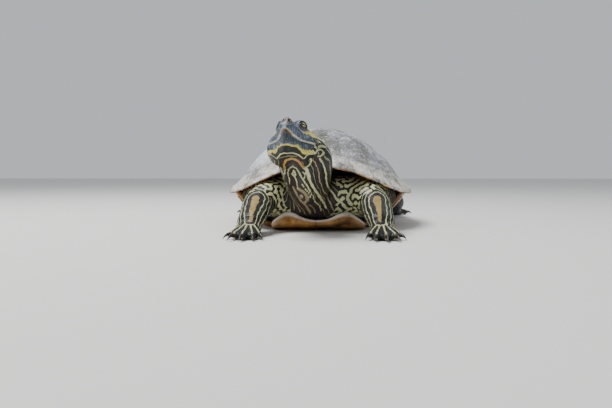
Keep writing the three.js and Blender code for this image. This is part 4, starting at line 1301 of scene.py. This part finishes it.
def stroke_marks(h, throat_place):
    """How far points are inside the strokes of each field."""
    wave = 0.25 * waves(h, 5, seed=42)[:, None]
    views = {
        "side": (np.column_stack([h[:, 1], h[:, 2]]) + wave, np.abs(h[:, 0]) > 4),
        "chin": (np.column_stack([np.abs(h[:, 0]), h[:, 1]]) + wave, h[:, 2] < -3.5),
        "throat": (throat_place + wave, h[:, 2] < 2),
    }
    marks = {}
    for name, strokes in STROKES.items():
        inside = np.full(len(h), -FAR_OFF)
        for view, half, line in strokes:
            at, shown = views[view]
            curve = smooth_path([(*spot, 0) for spot in line], 12)[0][:, :2]
            near = half - distance_to_lines(at, [curve])
            inside = np.where(shown, np.maximum(inside, near), inside)
        marks[name] = inside
    return marks


def limb_marks(co):
    """The lines of the limbs and the tail, and where they hold."""
    lines = np.full(len(co), 2 * FAR_OFF)
    holds = np.zeros(len(co))
    for limbs, feet, start, medial, narrow in LIMB_LINES:
        for tag, side in SIDES.items():
            across, along, radius = limb_lines(limbs[tag], co, start + 5, medial * side)
            mine = (radius < 26) & (co[:, 0] * side > 12) & (along > start - 12) & (np.abs(co[:, 1]) > 20)
            mine &= np.sign(co[:, 1]) == np.sign(limbs[tag].points[-1][1])
            foot = feet[tag]
            place = (co - foot.wrist) @ foot.turn
            toe_gap = np.full(len(co), FAR_OFF)
            for angle in foot.angles:
                ahead = place[:, 0] * math.sin(angle) - place[:, 1] * math.cos(angle)
                aside = np.abs(place[:, 0] * math.cos(angle) + place[:, 1] * math.sin(angle))
                toe_gap = np.where(ahead > 0, np.minimum(toe_gap, aside), toe_gap)
            toes = smoothstep(-place[:, 1], 3, 9)
            taper = 1.6 * smoothstep(-place[:, 1], -16, 4)
            across = (across + narrow + taper) * (1 - toes) + toes * (TOE_BAND + toe_gap)
            lines = np.where(mine, across, lines)
            edge = smoothstep(along + 2.5 * waves(co, 12, seed=23), start - 6, start - 3)
            holds = np.where(mine, np.maximum(edge, toes), holds)
    along, sideways, upward = tail.coordinates(co)
    on_tail = (np.hypot(sideways, upward) < 14) & (along > 26) & (co[:, 1] > 86)
    round_tail = np.abs(np.arctan2(sideways, upward))
    lines = np.where(on_tail, TAIL_BAND + round_tail * TAIL_SPREAD, lines)
    return lines, np.where(on_tail, 1, holds)


def head_marks(h, throat_place):
    """How far inside each mark of the head a point is, in mm."""
    from_mouth = h[:, 2] - mouth_height(h[:, 1])
    wave = 0.3 * waves(h, 6, seed=42)
    out, back = np.abs(h[:, 0]), h[:, 1]
    past_bar = CHIN_BAR_SLANT * (back - through(CHIN_BAR)(out)) + wave
    bar = CHIN_BAR_HALF + CHIN_SWELL * bump(out - CHIN_SWELL_OUT, CHIN_SWELL_HALF) - np.abs(past_bar)
    bar = np.minimum(bar, np.minimum(-CHIN_BAR_HALF - from_mouth, CHIN_BAR_END - back))
    upper = BEAK_END - BEAK_SLANT * np.maximum(0, from_mouth - 1) - back
    upper = np.minimum(np.minimum(upper, from_mouth + 0.2), BEAK_HIGH - from_mouth) + wave
    lower = np.minimum(-np.maximum(past_bar, from_mouth), JAW_END + JAW_SLANT * from_mouth - back)
    marks = stroke_marks(h, throat_place)
    upper = np.minimum(upper, -0.1 - marks["gold"])  # the horn gives way to the yellow mark
    marks["gold"] = np.maximum(marks["gold"], bar)
    lids = []
    for side in SIDES.values():
        far, along, across, ahead = eye_view(h, side)
        opening = np.sqrt((along / LIDS_OPEN[0]) ** 2 + (across / LIDS_OPEN[1]) ** 2)
        lids.append(np.where((ahead > 0) & (far < EYE_REACH + 0.5), opening, 9))
    nostril = np.minimum(*[nostril_gap(h, side) for side in SIDES.values()])
    band = CHIN_BAND_HALF - np.abs(past_bar - CHIN_BAND_BACK)
    tip = np.minimum(TIP_HIGH - from_mouth, TIP_SLANT * (TIP_END - back))
    return marks | {
        "beak": np.where(from_mouth > 0, upper, lower),
        "jaw": lower - 1,
        "stroke_edge": np.max(list(marks.values()), axis=0) + STROKE_MARGIN,
        "chin_band": np.minimum(band, CHIN_BAND_END - back),
        "lip": np.minimum(np.minimum(from_mouth + 0.05, LIP_HIGH - from_mouth), LIP_END - back),
        "tip": tip + np.minimum(0, 4 * from_mouth),
        # the band of painted shade along the mouth's slit
        "mouth_shade": np.minimum(GAPE_DARK - np.abs(from_mouth + GAPE_LOW), JAW_END - back),
        "lids": np.minimum(*lids),
        "lid": LID_REACH - np.minimum(*lids),
        "nostril_rim": NOSTRIL_RIM - nostril,
        "nostril_pit": NOSTRIL_PIT - nostril,
    }


def add_markings(piece):
    """Keep at each point of the skin how far it is inside each marking."""
    co = (points_of(piece.data) - np.array(TO_FRAME)) / MM
    h = in_head(co)
    lines, behind, throat_place = throat_lines(co)
    neck_gap = np.hypot(*spine.coordinates(co)[1:]) - NECK_RADIUS - 6 * smoothstep(behind, 66, 56)
    shoulder_gap = np.linalg.norm(co - np.array(SHOULDER_EYE) * np.sign(co[:, :1]) ** (1, 0, 0), axis=1)
    rings = np.cos(2 * math.pi * shoulder_gap / PATTERN_LENGTH) * smoothstep(shoulder_gap, 30, 12)
    seed_field = 0.9 * rings * smoothstep(co[:, 1], -50, -60)
    seed_field += 0.8 * waves(co, PATTERN_LENGTH, seed=31, count=24)
    on_neck = smoothstep(neck_gap + 1.2 * waves(co, 9, seed=13), 1.5, -0.5)
    limb, on_limb = limb_marks(co)
    rho, _ = shell_polar(co[:, 0], co[:, 1])
    # the flanks beside the shoulders, under the rim, which take painted shade
    flank = smoothstep(co[:, 1], -78, -62) * smoothstep(np.abs(co[:, 0]), 38, 48) * (co[:, 1] < 30)
    marks = {
        "throat": lines,
        "winding": winding_lines(piece, seed_field) - PALE_WIDTH,
        "on_neck": np.maximum(on_neck, h[:, 1] < 36) * (behind < 90) - 0.5,
        "limb": limb,
        "on_limb": on_limb - 0.5,
        # where the skin is darkened with painted shade: deep under the shell, and on the flanks
        "deep": np.maximum(smoothstep(rho, 0.93, 0.8), flank) * (h[:, 1] > 40) - 0.5,
    }
    for name, values in (marks | head_marks(h, throat_place)).items():
        set_field(piece.data, name, values)


def damp_skin():
    """Living skin, damp and satin, of fine cells and folds. Its paints follow the markings, and it is
    duller, and darkened with painted shade, deep under the shell and on the flanks beside the shoulders."""
    material, tree, surface = new_material("damp_skin")
    place = add_node(tree, "TexCoord", out="Object")
    grain = add_node(tree, "TexNoise", {"Vector": place, "Scale": 1 / (1.6 * MM), "Detail": 3})
    ragged = add_node(tree, "MapRange", {"Value": grain, "To Min": -0.45, "To Max": 0.45})
    paints = {name: linear(colour) for name, colour in PAINTS.items()}
    for name, bands in (("throat", NECK_BANDS), ("limb", LIMB_BANDS)):
        way = add_node(tree, "Attribute", out="Fac", attribute_name=name)
        way = add_node(tree, "Math", {0: way, 1: ragged}, operation="ADD")
        way = add_node(tree, "MapRange", {"Value": way, "From Max": BAND_SPAN})
        stops = [(start / BAND_SPAN, PAINTS[paint]) for start, paint in bands]
        paints[name] = add_node(tree, "ValToRGB", {"Fac": way}, stops=stops)
        paints[name].node.color_ramp.interpolation = "CONSTANT"
    way = add_node(tree, "Mapping", {"Vector": place, "Scale": (1.6, 1.6, 0.5)})
    links = {"Vector": way, "Scale": 1 / (1.7 * MM), "Detail": 5, "Roughness": 0.72, "Distortion": 0.6}
    scratches = add_node(tree, "TexNoise", links)
    paints["horn"] = add_node(tree, "ValToRGB", {"Fac": scratches}, stops=HORN_STOPS)
    opening = add_node(tree, "Attribute", out="Fac", attribute_name="lids")
    opening = add_node(tree, "Math", {0: opening, 1: LID_SPAN}, operation="DIVIDE")
    paints["lid"] = add_node(tree, "ValToRGB", {"Fac": opening}, stops=LID_STOPS)
    colour = paints["green"]
    for name, roughness, softness, share, paint in SKIN_LAYERS:
        inside = add_node(tree, "Attribute", out="Fac", attribute_name=name)
        inside = add_node(tree, "Math", {0: ragged, 1: roughness, 2: inside}, operation="MULTIPLY_ADD")
        links = {"Value": inside, "From Min": -softness, "From Max": softness, "To Max": share}
        mask = add_node(tree, "MapRange", links)
        colour = add_node(tree, "Mix", {0: mask, 6: colour, 7: paints[paint]}, out=2, data_type="RGBA")
    cell_links = {"Vector": place, "Scale": 1 / (1.2 * MM)}
    cells = add_node(tree, "TexVoronoi", cell_links, feature="DISTANCE_TO_EDGE")
    clouds = add_node(tree, "TexNoise", {"Vector": place, "Scale": 1 / (7 * MM), "Detail": 3})
    for pattern, stops in ((cells, CELL_STOPS), (clouds, CLOUD_STOPS)):
        tint = add_node(tree, "ValToRGB", {"Fac": pattern}, stops=stops)
        links = {0: 0.4, 6: colour, 7: tint}
        colour = add_node(tree, "Mix", links, out=2, data_type="RGBA", blend_type="MULTIPLY")
    deep = add_node(tree, "Attribute", out="Fac", attribute_name="deep")
    links = {"Value": deep, "From Min": -0.5, "From Max": 0.5, "To Min": 0.4, "To Max": 1}
    rough = add_node(tree, "MapRange", links)
    pebbles = add_node(tree, "TexVoronoi", cell_links)
    folds = add_node(tree, "TexNoise", {"Vector": place, "Scale": 1 / (4 * MM), "Detail": 5})
    height = add_node(tree, "Math", {0: folds, 1: 1.6, 2: pebbles}, operation="MULTIPLY_ADD")
    links = {"Strength": 0.4, "Distance": 0.4 * MM, "Height": height}
    relief = add_node(tree, "Bump", links, invert=True)
    wire(tree, surface, {"Base Color": colour, "Roughness": rough, "IOR": 1.45, "Normal": relief})
    return material


add_markings(skin)
skin.data.materials.append(damp_skin())

# ------------------------------------------------------------------ eyes
# Each eye is a moist ball under its lids: a yellow-green iris crossed by a dark bar, a round
# pupil and a black rim, all under a clear, wet front.
PUPIL = "#0c0b0a"
IRIS_SPAN = 5  # mm that the ramp below covers
IRIS_STOPS = [
    (0, PUPIL), (0.12, PUPIL), (0.15, "#dccf74"), (0.23, "#b9a63a"), (0.28, "#4f4a1e"), (0.33, PUPIL),
]  # fmt: skip
BAR_TILT, BAR_HALF, BAR_FADE = -0.1, 0.45, 0.15
CORNEA_RISE = 0.05  # of the eye's radius
GLANCE = {1: EYE_LOOK, -1: np.array((-0.97, -0.12, 0.21))}  # the right eye looks further back


def build_eye(tag, side):
    """A ball turned to its glance, with a raised clear front."""
    bm = bmesh.new()
    bmesh.ops.create_uvsphere(bm, u_segments=64, v_segments=40, radius=1)
    eye = new_piece(f"eyeball_{tag}", bm)
    unit = points_of(eye.data)
    look = GLANCE[side]
    front = np.cross((0, 0, 1), look)
    front /= np.linalg.norm(front)
    over = np.cross(look, front)
    cornea = 1 + CORNEA_RISE * smoothstep(unit[:, 2], 0.7, 0.95)
    radius = (EYE_RADIUS * cornea)[:, None]
    ball = (unit[:, :1] * front + unit[:, 1:2] * over + unit[:, 2:] * look) * radius
    set_field(eye.data, "across", unit[:, 0] * EYE_RADIUS)
    set_field(eye.data, "over", (unit[:, 1] + BAR_TILT * side * unit[:, 0]) * EYE_RADIUS)
    set_field(eye.data, "facing", unit[:, 2])
    move_points(eye.data, head_place(ball + EYE_CENTRE * (side, 1, 1)))
    return eye


def wet_eye():
    """A wet eye: glossy all over, its colours set by the way out from the pupil's middle."""
    material, tree, surface = new_material("wet_eye")
    fields = ("across", "over", "facing")
    across, over, facing = [add_node(tree, "Attribute", out="Fac", attribute_name=f) for f in fields]
    flat = add_node(tree, "CombineXYZ", {"X": across, "Y": over})
    reach = add_node(tree, "VectorMath", {0: flat}, out="Value", operation="LENGTH")
    reach = add_node(tree, "MapRange", {"Value": reach, "From Max": IRIS_SPAN})
    rings = add_node(tree, "ValToRGB", {"Fac": reach}, stops=IRIS_STOPS)
    off_bar = add_node(tree, "Math", {0: over}, operation="ABSOLUTE")
    links = {"Value": off_bar, "From Min": BAR_HALF, "From Max": BAR_HALF + BAR_FADE}
    off_bar = add_node(tree, "MapRange", links)
    in_front = add_node(tree, "MapRange", {"Value": facing, "From Min": 0.2, "From Max": 0.3})
    shown = add_node(tree, "Math", {0: off_bar, 1: in_front}, operation="MULTIPLY")
    links = {0: shown, 6: linear(PUPIL), 7: rings}
    colour = add_node(tree, "Mix", links, out=2, data_type="RGBA")
    wire(tree, surface, {"Base Color": colour, "Roughness": 0.18})
    wire(tree, surface, {"Coat Weight": 1.0, "Coat Roughness": 0.03, "Coat IOR": 1.38})
    return material


eye_surface = wet_eye()
for tag, side in SIDES.items():
    eye = build_eye(tag, side)
    eye.data.materials.append(eye_surface)
    settle(eye, "eye", f"eye_{tag}")

# ------------------------------------------------------------------ claws
# Eighteen curved claws of dark horn, five to a forefoot and four to a hind foot, growing out of
# the ends of the toes and paler at the root.
CLAW_RADIUS, CLAW_FLATTENED = 1.6, 0.86  # at the root, and its width as a share of its height
CLAW_ROOT = 3  # length of claw inside the toe
CLAW_POINT = 0.2


def build_claw(name, foot, toe):
    """A ball drawn out along the claw's bend, from inside the toe to a point near the floor."""
    reach = foot.lengths[toe]
    long = foot.claws[toe]
    bends = [(-CLAW_ROOT, 3.1), (long * 0.35, 3.3), (long * 0.72, 2.3), (long, 0.75)]
    claw = Limb(
        path=foot.place([foot.on_toe(toe, reach + ahead, height) for ahead, height in bends]),
        up=(0, 0, 1),
        half=lambda t: np.maximum(CLAW_POINT, CLAW_RADIUS * CLAW_FLATTENED * (1 - t**1.7)),
        top=lambda t: np.maximum(1.1 * CLAW_POINT, CLAW_RADIUS * (1 - t**1.6)),
        caps=(0.1, 0.03),
    )
    bm = bmesh.new()
    add_ball(bm, claw.surface, 24, 32)
    piece = new_piece(name, bm)
    along = claw.coordinates(points_of(piece.data))[0]
    set_field(piece.data, "along", along / claw.length)
    return piece


def dark_horn():
    """Claw horn: smooth and hard, nearly black with a brown root and a fine grain."""
    material, tree, surface = new_material("dark_horn")
    along = add_node(tree, "Attribute", out="Fac", attribute_name="along")
    stops = [(0.25, "#4a3d2c"), (0.5, "#25211c"), (0.85, "#191714"), (1.0, "#3b3128")]
    tones = add_node(tree, "ValToRGB", {"Fac": along}, stops=stops)
    place = add_node(tree, "TexCoord", out="Object")
    grain = add_node(tree, "TexNoise", {"Vector": place, "Scale": 1 / (1.2 * MM), "Detail": 3})
    relief = add_node(tree, "Bump", {"Strength": 0.35, "Distance": 0.3 * MM, "Height": grain})
    wire(tree, surface, {"Base Color": tones, "Roughness": 0.36, "Normal": relief})
    return material


claw_surface = dark_horn()
for kind, feet in (("fore", forefeet), ("hind", hindfeet)):
    for tag, foot in feet.items():
        for toe in range(len(foot.lengths)):
            name = f"claw_{kind}_{tag}{toe + 1}"
            claw = build_claw(f"horn_{name}", foot, toe)
            claw.data.materials.append(claw_surface)
            settle(claw, "claw", name)

# ------------------------------------------------------------------ scales
# Small horny scales cover the legs, the feet and the tail. Each is a low six-sided plate rooted
# in the skin, its far edge lifted over the next, and each takes the skin's own markings.
LIMB_SCALE, PALM_SCALE, TOE_SCALE, TAIL_SCALE = 1.55, 1.35, 1.15, 1.3  # across a scale
ROW_STEP = 0.86  # from row to row, as a share of a scale
FEWEST_ROUND = 5
UNEVEN, SIZE_RANGE = 0.12, (0.88, 1.06)
PLATE_SINK, PLATE_SHOULDER, PLATE_PEAK = 0.14, 0.124, 0.18  # below the skin, and over it
PLATE_LIFT = 0.12  # the slope to its far edge
PLATE_ROOT, PLATE_TOP = 0.6, 0.43  # radii of a plate a unit across
ROOT_GAP = 1.1  # furthest from the skin that a scale may start
SOLE_HEIGHT = 0.9  # skin that looks down below this has no scales
BAKE_PER_MM = 0.0036  # of the unwrap, for each millimetre of skin
BAKE_PATCH = 0.0024  # of the unwrap, for a scale
BAKE_START, BAKE_GAP = 0.02, 0.012


def scale_rows(limb, start, end, size, roots, rng):
    """Roots in rows round a limb: place, the lie of the scale, its size and its unwrapped place."""
    base = max([root[3][1] for root in roots], default=0) + BAKE_GAP
    steps = int(limb.length * (end - start) / (size * ROW_STEP))
    for row in range(steps):
        t = start + (end - start) * (row + 0.5) / steps
        girth = math.pi * float(limb.half(t) + limb.top(t))
        count = max(FEWEST_ROUND, round(girth / size))
        uneven = rng.uniform(-UNEVEN, UNEVEN, count)
        turn = 2 * math.pi * (np.arange(count) + 0.5 * (row % 2) + uneven) / count
        level = 1 - 2 * t
        spread = math.sqrt(1 - level * level)
        ring = np.column_stack([np.cos(turn) * spread, np.sin(turn) * spread, np.full(count, level)])
        lie = limb.at(limb.forward, np.array([t]))[0]
        along = BAKE_START + t * limb.length * BAKE_PER_MM
        for k, place in enumerate(limb.surface(ring)):
            round_limb = base + turn[k] / (2 * math.pi) * girth * BAKE_PER_MM
            roots.append((place, lie, girth / count, (along, round_limb)))


def scale_plate():
    """One plate, a unit across, as its points and faces: a sunk skirt and a low peaked top."""
    bm = bmesh.new()
    radii = {"radius1": PLATE_ROOT, "radius2": PLATE_TOP}
    bmesh.ops.create_cone(bm, cap_ends=True, segments=6, depth=1, **radii)
    top = max(bm.faces, key=lambda face: face.calc_center_median().z)
    bmesh.ops.poke(bm, faces=[top])["verts"][0].co.z = 1
    bm.verts.index_update()
    points = np.array([vert.co for vert in bm.verts])
    faces = [[vert.index for vert in face.verts] for face in bm.faces]
    bm.free()
    return points, faces


PLATE_POINTS, PLATE_FACES = scale_plate()


def plate_of_size(size):
    """The plate's points in mm, its far edge lifted."""
    points = PLATE_POINTS * (size, size, 1)
    heights = (-PLATE_SINK, PLATE_SHOULDER, PLATE_PEAK)
    points[:, 2] = np.interp(PLATE_POINTS[:, 2], (-0.5, 0.5, 1), heights) + PLATE_LIFT * points[:, 0]
    return points


def fields_near(skin_tree, skin_mesh, places):
    """Each marking of the skin at the given places, from the face under each."""
    starts = read_all(skin_mesh.polygons, "loop_start")
    totals = read_all(skin_mesh.polygons, "loop_total")
    corners = read_all(skin_mesh.loops, "vertex_index")
    face = np.array([skin_tree.find_nearest(Vector(place))[2] for place in places])
    near = np.stack([corners[starts[face] + np.minimum(k, totals[face] - 1)] for k in range(4)], 1)
    skin_at = points_of(skin_mesh)
    weight = 1 / (((skin_at[near] - places[:, None]) ** 2).sum(2) + 1e-10)
    weight /= weight.sum(1, keepdims=True)
    found = {}
    for attribute in skin_mesh.attributes:
        if attribute.data_type == "FLOAT" and attribute.domain == "POINT":
            values = read_all(attribute.data, "value", kind=np.float32)
            found[attribute.name] = (values[near] * weight).sum(1)
    return found


def build_scales(name, regions, skin_tree, seed):
    """All the scales of a limb as one piece, each turned to the skin under it."""
    rng = np.random.default_rng(seed)
    roots = []
    for limb, start, end, size in regions:
        scale_rows(limb, start, end, size, roots, rng)
    points, patches = [], []
    for place, lie, size, unwrapped in roots:
        at = Vector(place * MM + np.array(TO_FRAME))
        spot, normal, _, gap = skin_tree.find_nearest(at)
        if gap > ROOT_GAP * MM or (spot.z < SOLE_HEIGHT * MM and normal.z < 0):
            continue
        up = np.array(normal)
        ahead = lie - up * (lie @ up)
        ahead /= np.linalg.norm(ahead)
        axes = np.array([ahead, np.cross(up, ahead), up])
        plate = plate_of_size(size * rng.uniform(*SIZE_RANGE))
        points.append(plate @ axes * MM + np.array(spot))
        patches.append(np.array(unwrapped) + plate[:, :2] / size * BAKE_PATCH)
    points, patches = np.concatenate(points), np.concatenate(patches)
    points[:, 2] = np.maximum(points[:, 2], OVER_FLOOR * MM)
    mesh = bpy.data.meshes.new(name)
    starts = range(0, len(points), len(PLATE_POINTS))
    faces = [[start + k for k in face] for start in starts for face in PLATE_FACES]
    mesh.from_pydata(points, [], faces)
    corners = read_all(mesh.loops, "vertex_index")
    mesh.uv_layers.new(name="OFBake").data.foreach_set("uv", patches[corners].astype(np.float32).ravel())
    for field_name, values in fields_near(skin_tree, skin.data, points).items():
        set_field(mesh, field_name, values)
    piece = bpy.data.objects.new(name, mesh)
    bpy.context.scene.collection.objects.link(piece)
    piece.data.materials.append(skin.data.materials[0])
    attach(piece, "root")


def leg_regions(leg, start, foot):
    """The bodies of a leg and its foot: each with where its scales start and end, and their size."""
    toes = [(foot.toe(i), 0.18, 0.93, TOE_SCALE) for i in range(len(foot.lengths))]
    return [(leg, start, 0.97, LIMB_SCALE), (foot.palm(), 0.04, 0.8, PALM_SCALE)] + toes


skin_tree = BVHTree.FromObject(skin, bpy.context.evaluated_depsgraph_get())
for tag in SIDES:
    fore = leg_regions(forelegs[tag], 0.6, forefeet[tag])
    hind = leg_regions(hindlegs[tag], 0.62, hindfeet[tag])
    build_scales(f"scales_foreleg_{tag}", fore, skin_tree, seed=51)
    build_scales(f"scales_hindleg_{tag}", hind, skin_tree, seed=52)
build_scales("scales_tail", [(tail, 0.42, 0.97, TAIL_SCALE)], skin_tree, seed=53)

# ------------------------------------------------------------------ floor and light
# A plain pale floor, a pale room and one broad soft lamp high up on the left. Only here are
# lengths in metres.
FLOOR_HALF = 4
LAMP_AT, LAMP_SIZE, LAMP_WATTS = (-0.4, -0.12, 0.95), 0.6, 16
bm = bmesh.new()
bmesh.ops.create_grid(bm, x_segments=1, y_segments=1, size=FLOOR_HALF)
floor = new_piece("floor", bm)
paper, tree, surface = new_material("matt_paper")
wire(tree, surface, {"Base Color": linear("#dcdbd7"), "Roughness": 0.9})
floor.data.materials.append(paper)

world = bpy.data.worlds.new("pale_room")
bpy.context.scene.world = world
world.use_nodes = True
sky = world.node_tree.nodes["Background"]
wire(world.node_tree, sky, {"Color": linear("#dfe4ea"), "Strength": 0.75})
lamp = bpy.data.objects.new("softbox", bpy.data.lights.new("softbox", "AREA"))
lamp.data.shape = "DISK"
lamp.data.energy = LAMP_WATTS
lamp.data.size = LAMP_SIZE
lamp.location = LAMP_AT
lamp.rotation_mode = "QUATERNION"
lamp.rotation_quaternion = (-lamp.location).to_track_quat("-Z", "Y")
bpy.context.scene.collection.objects.link(lamp)
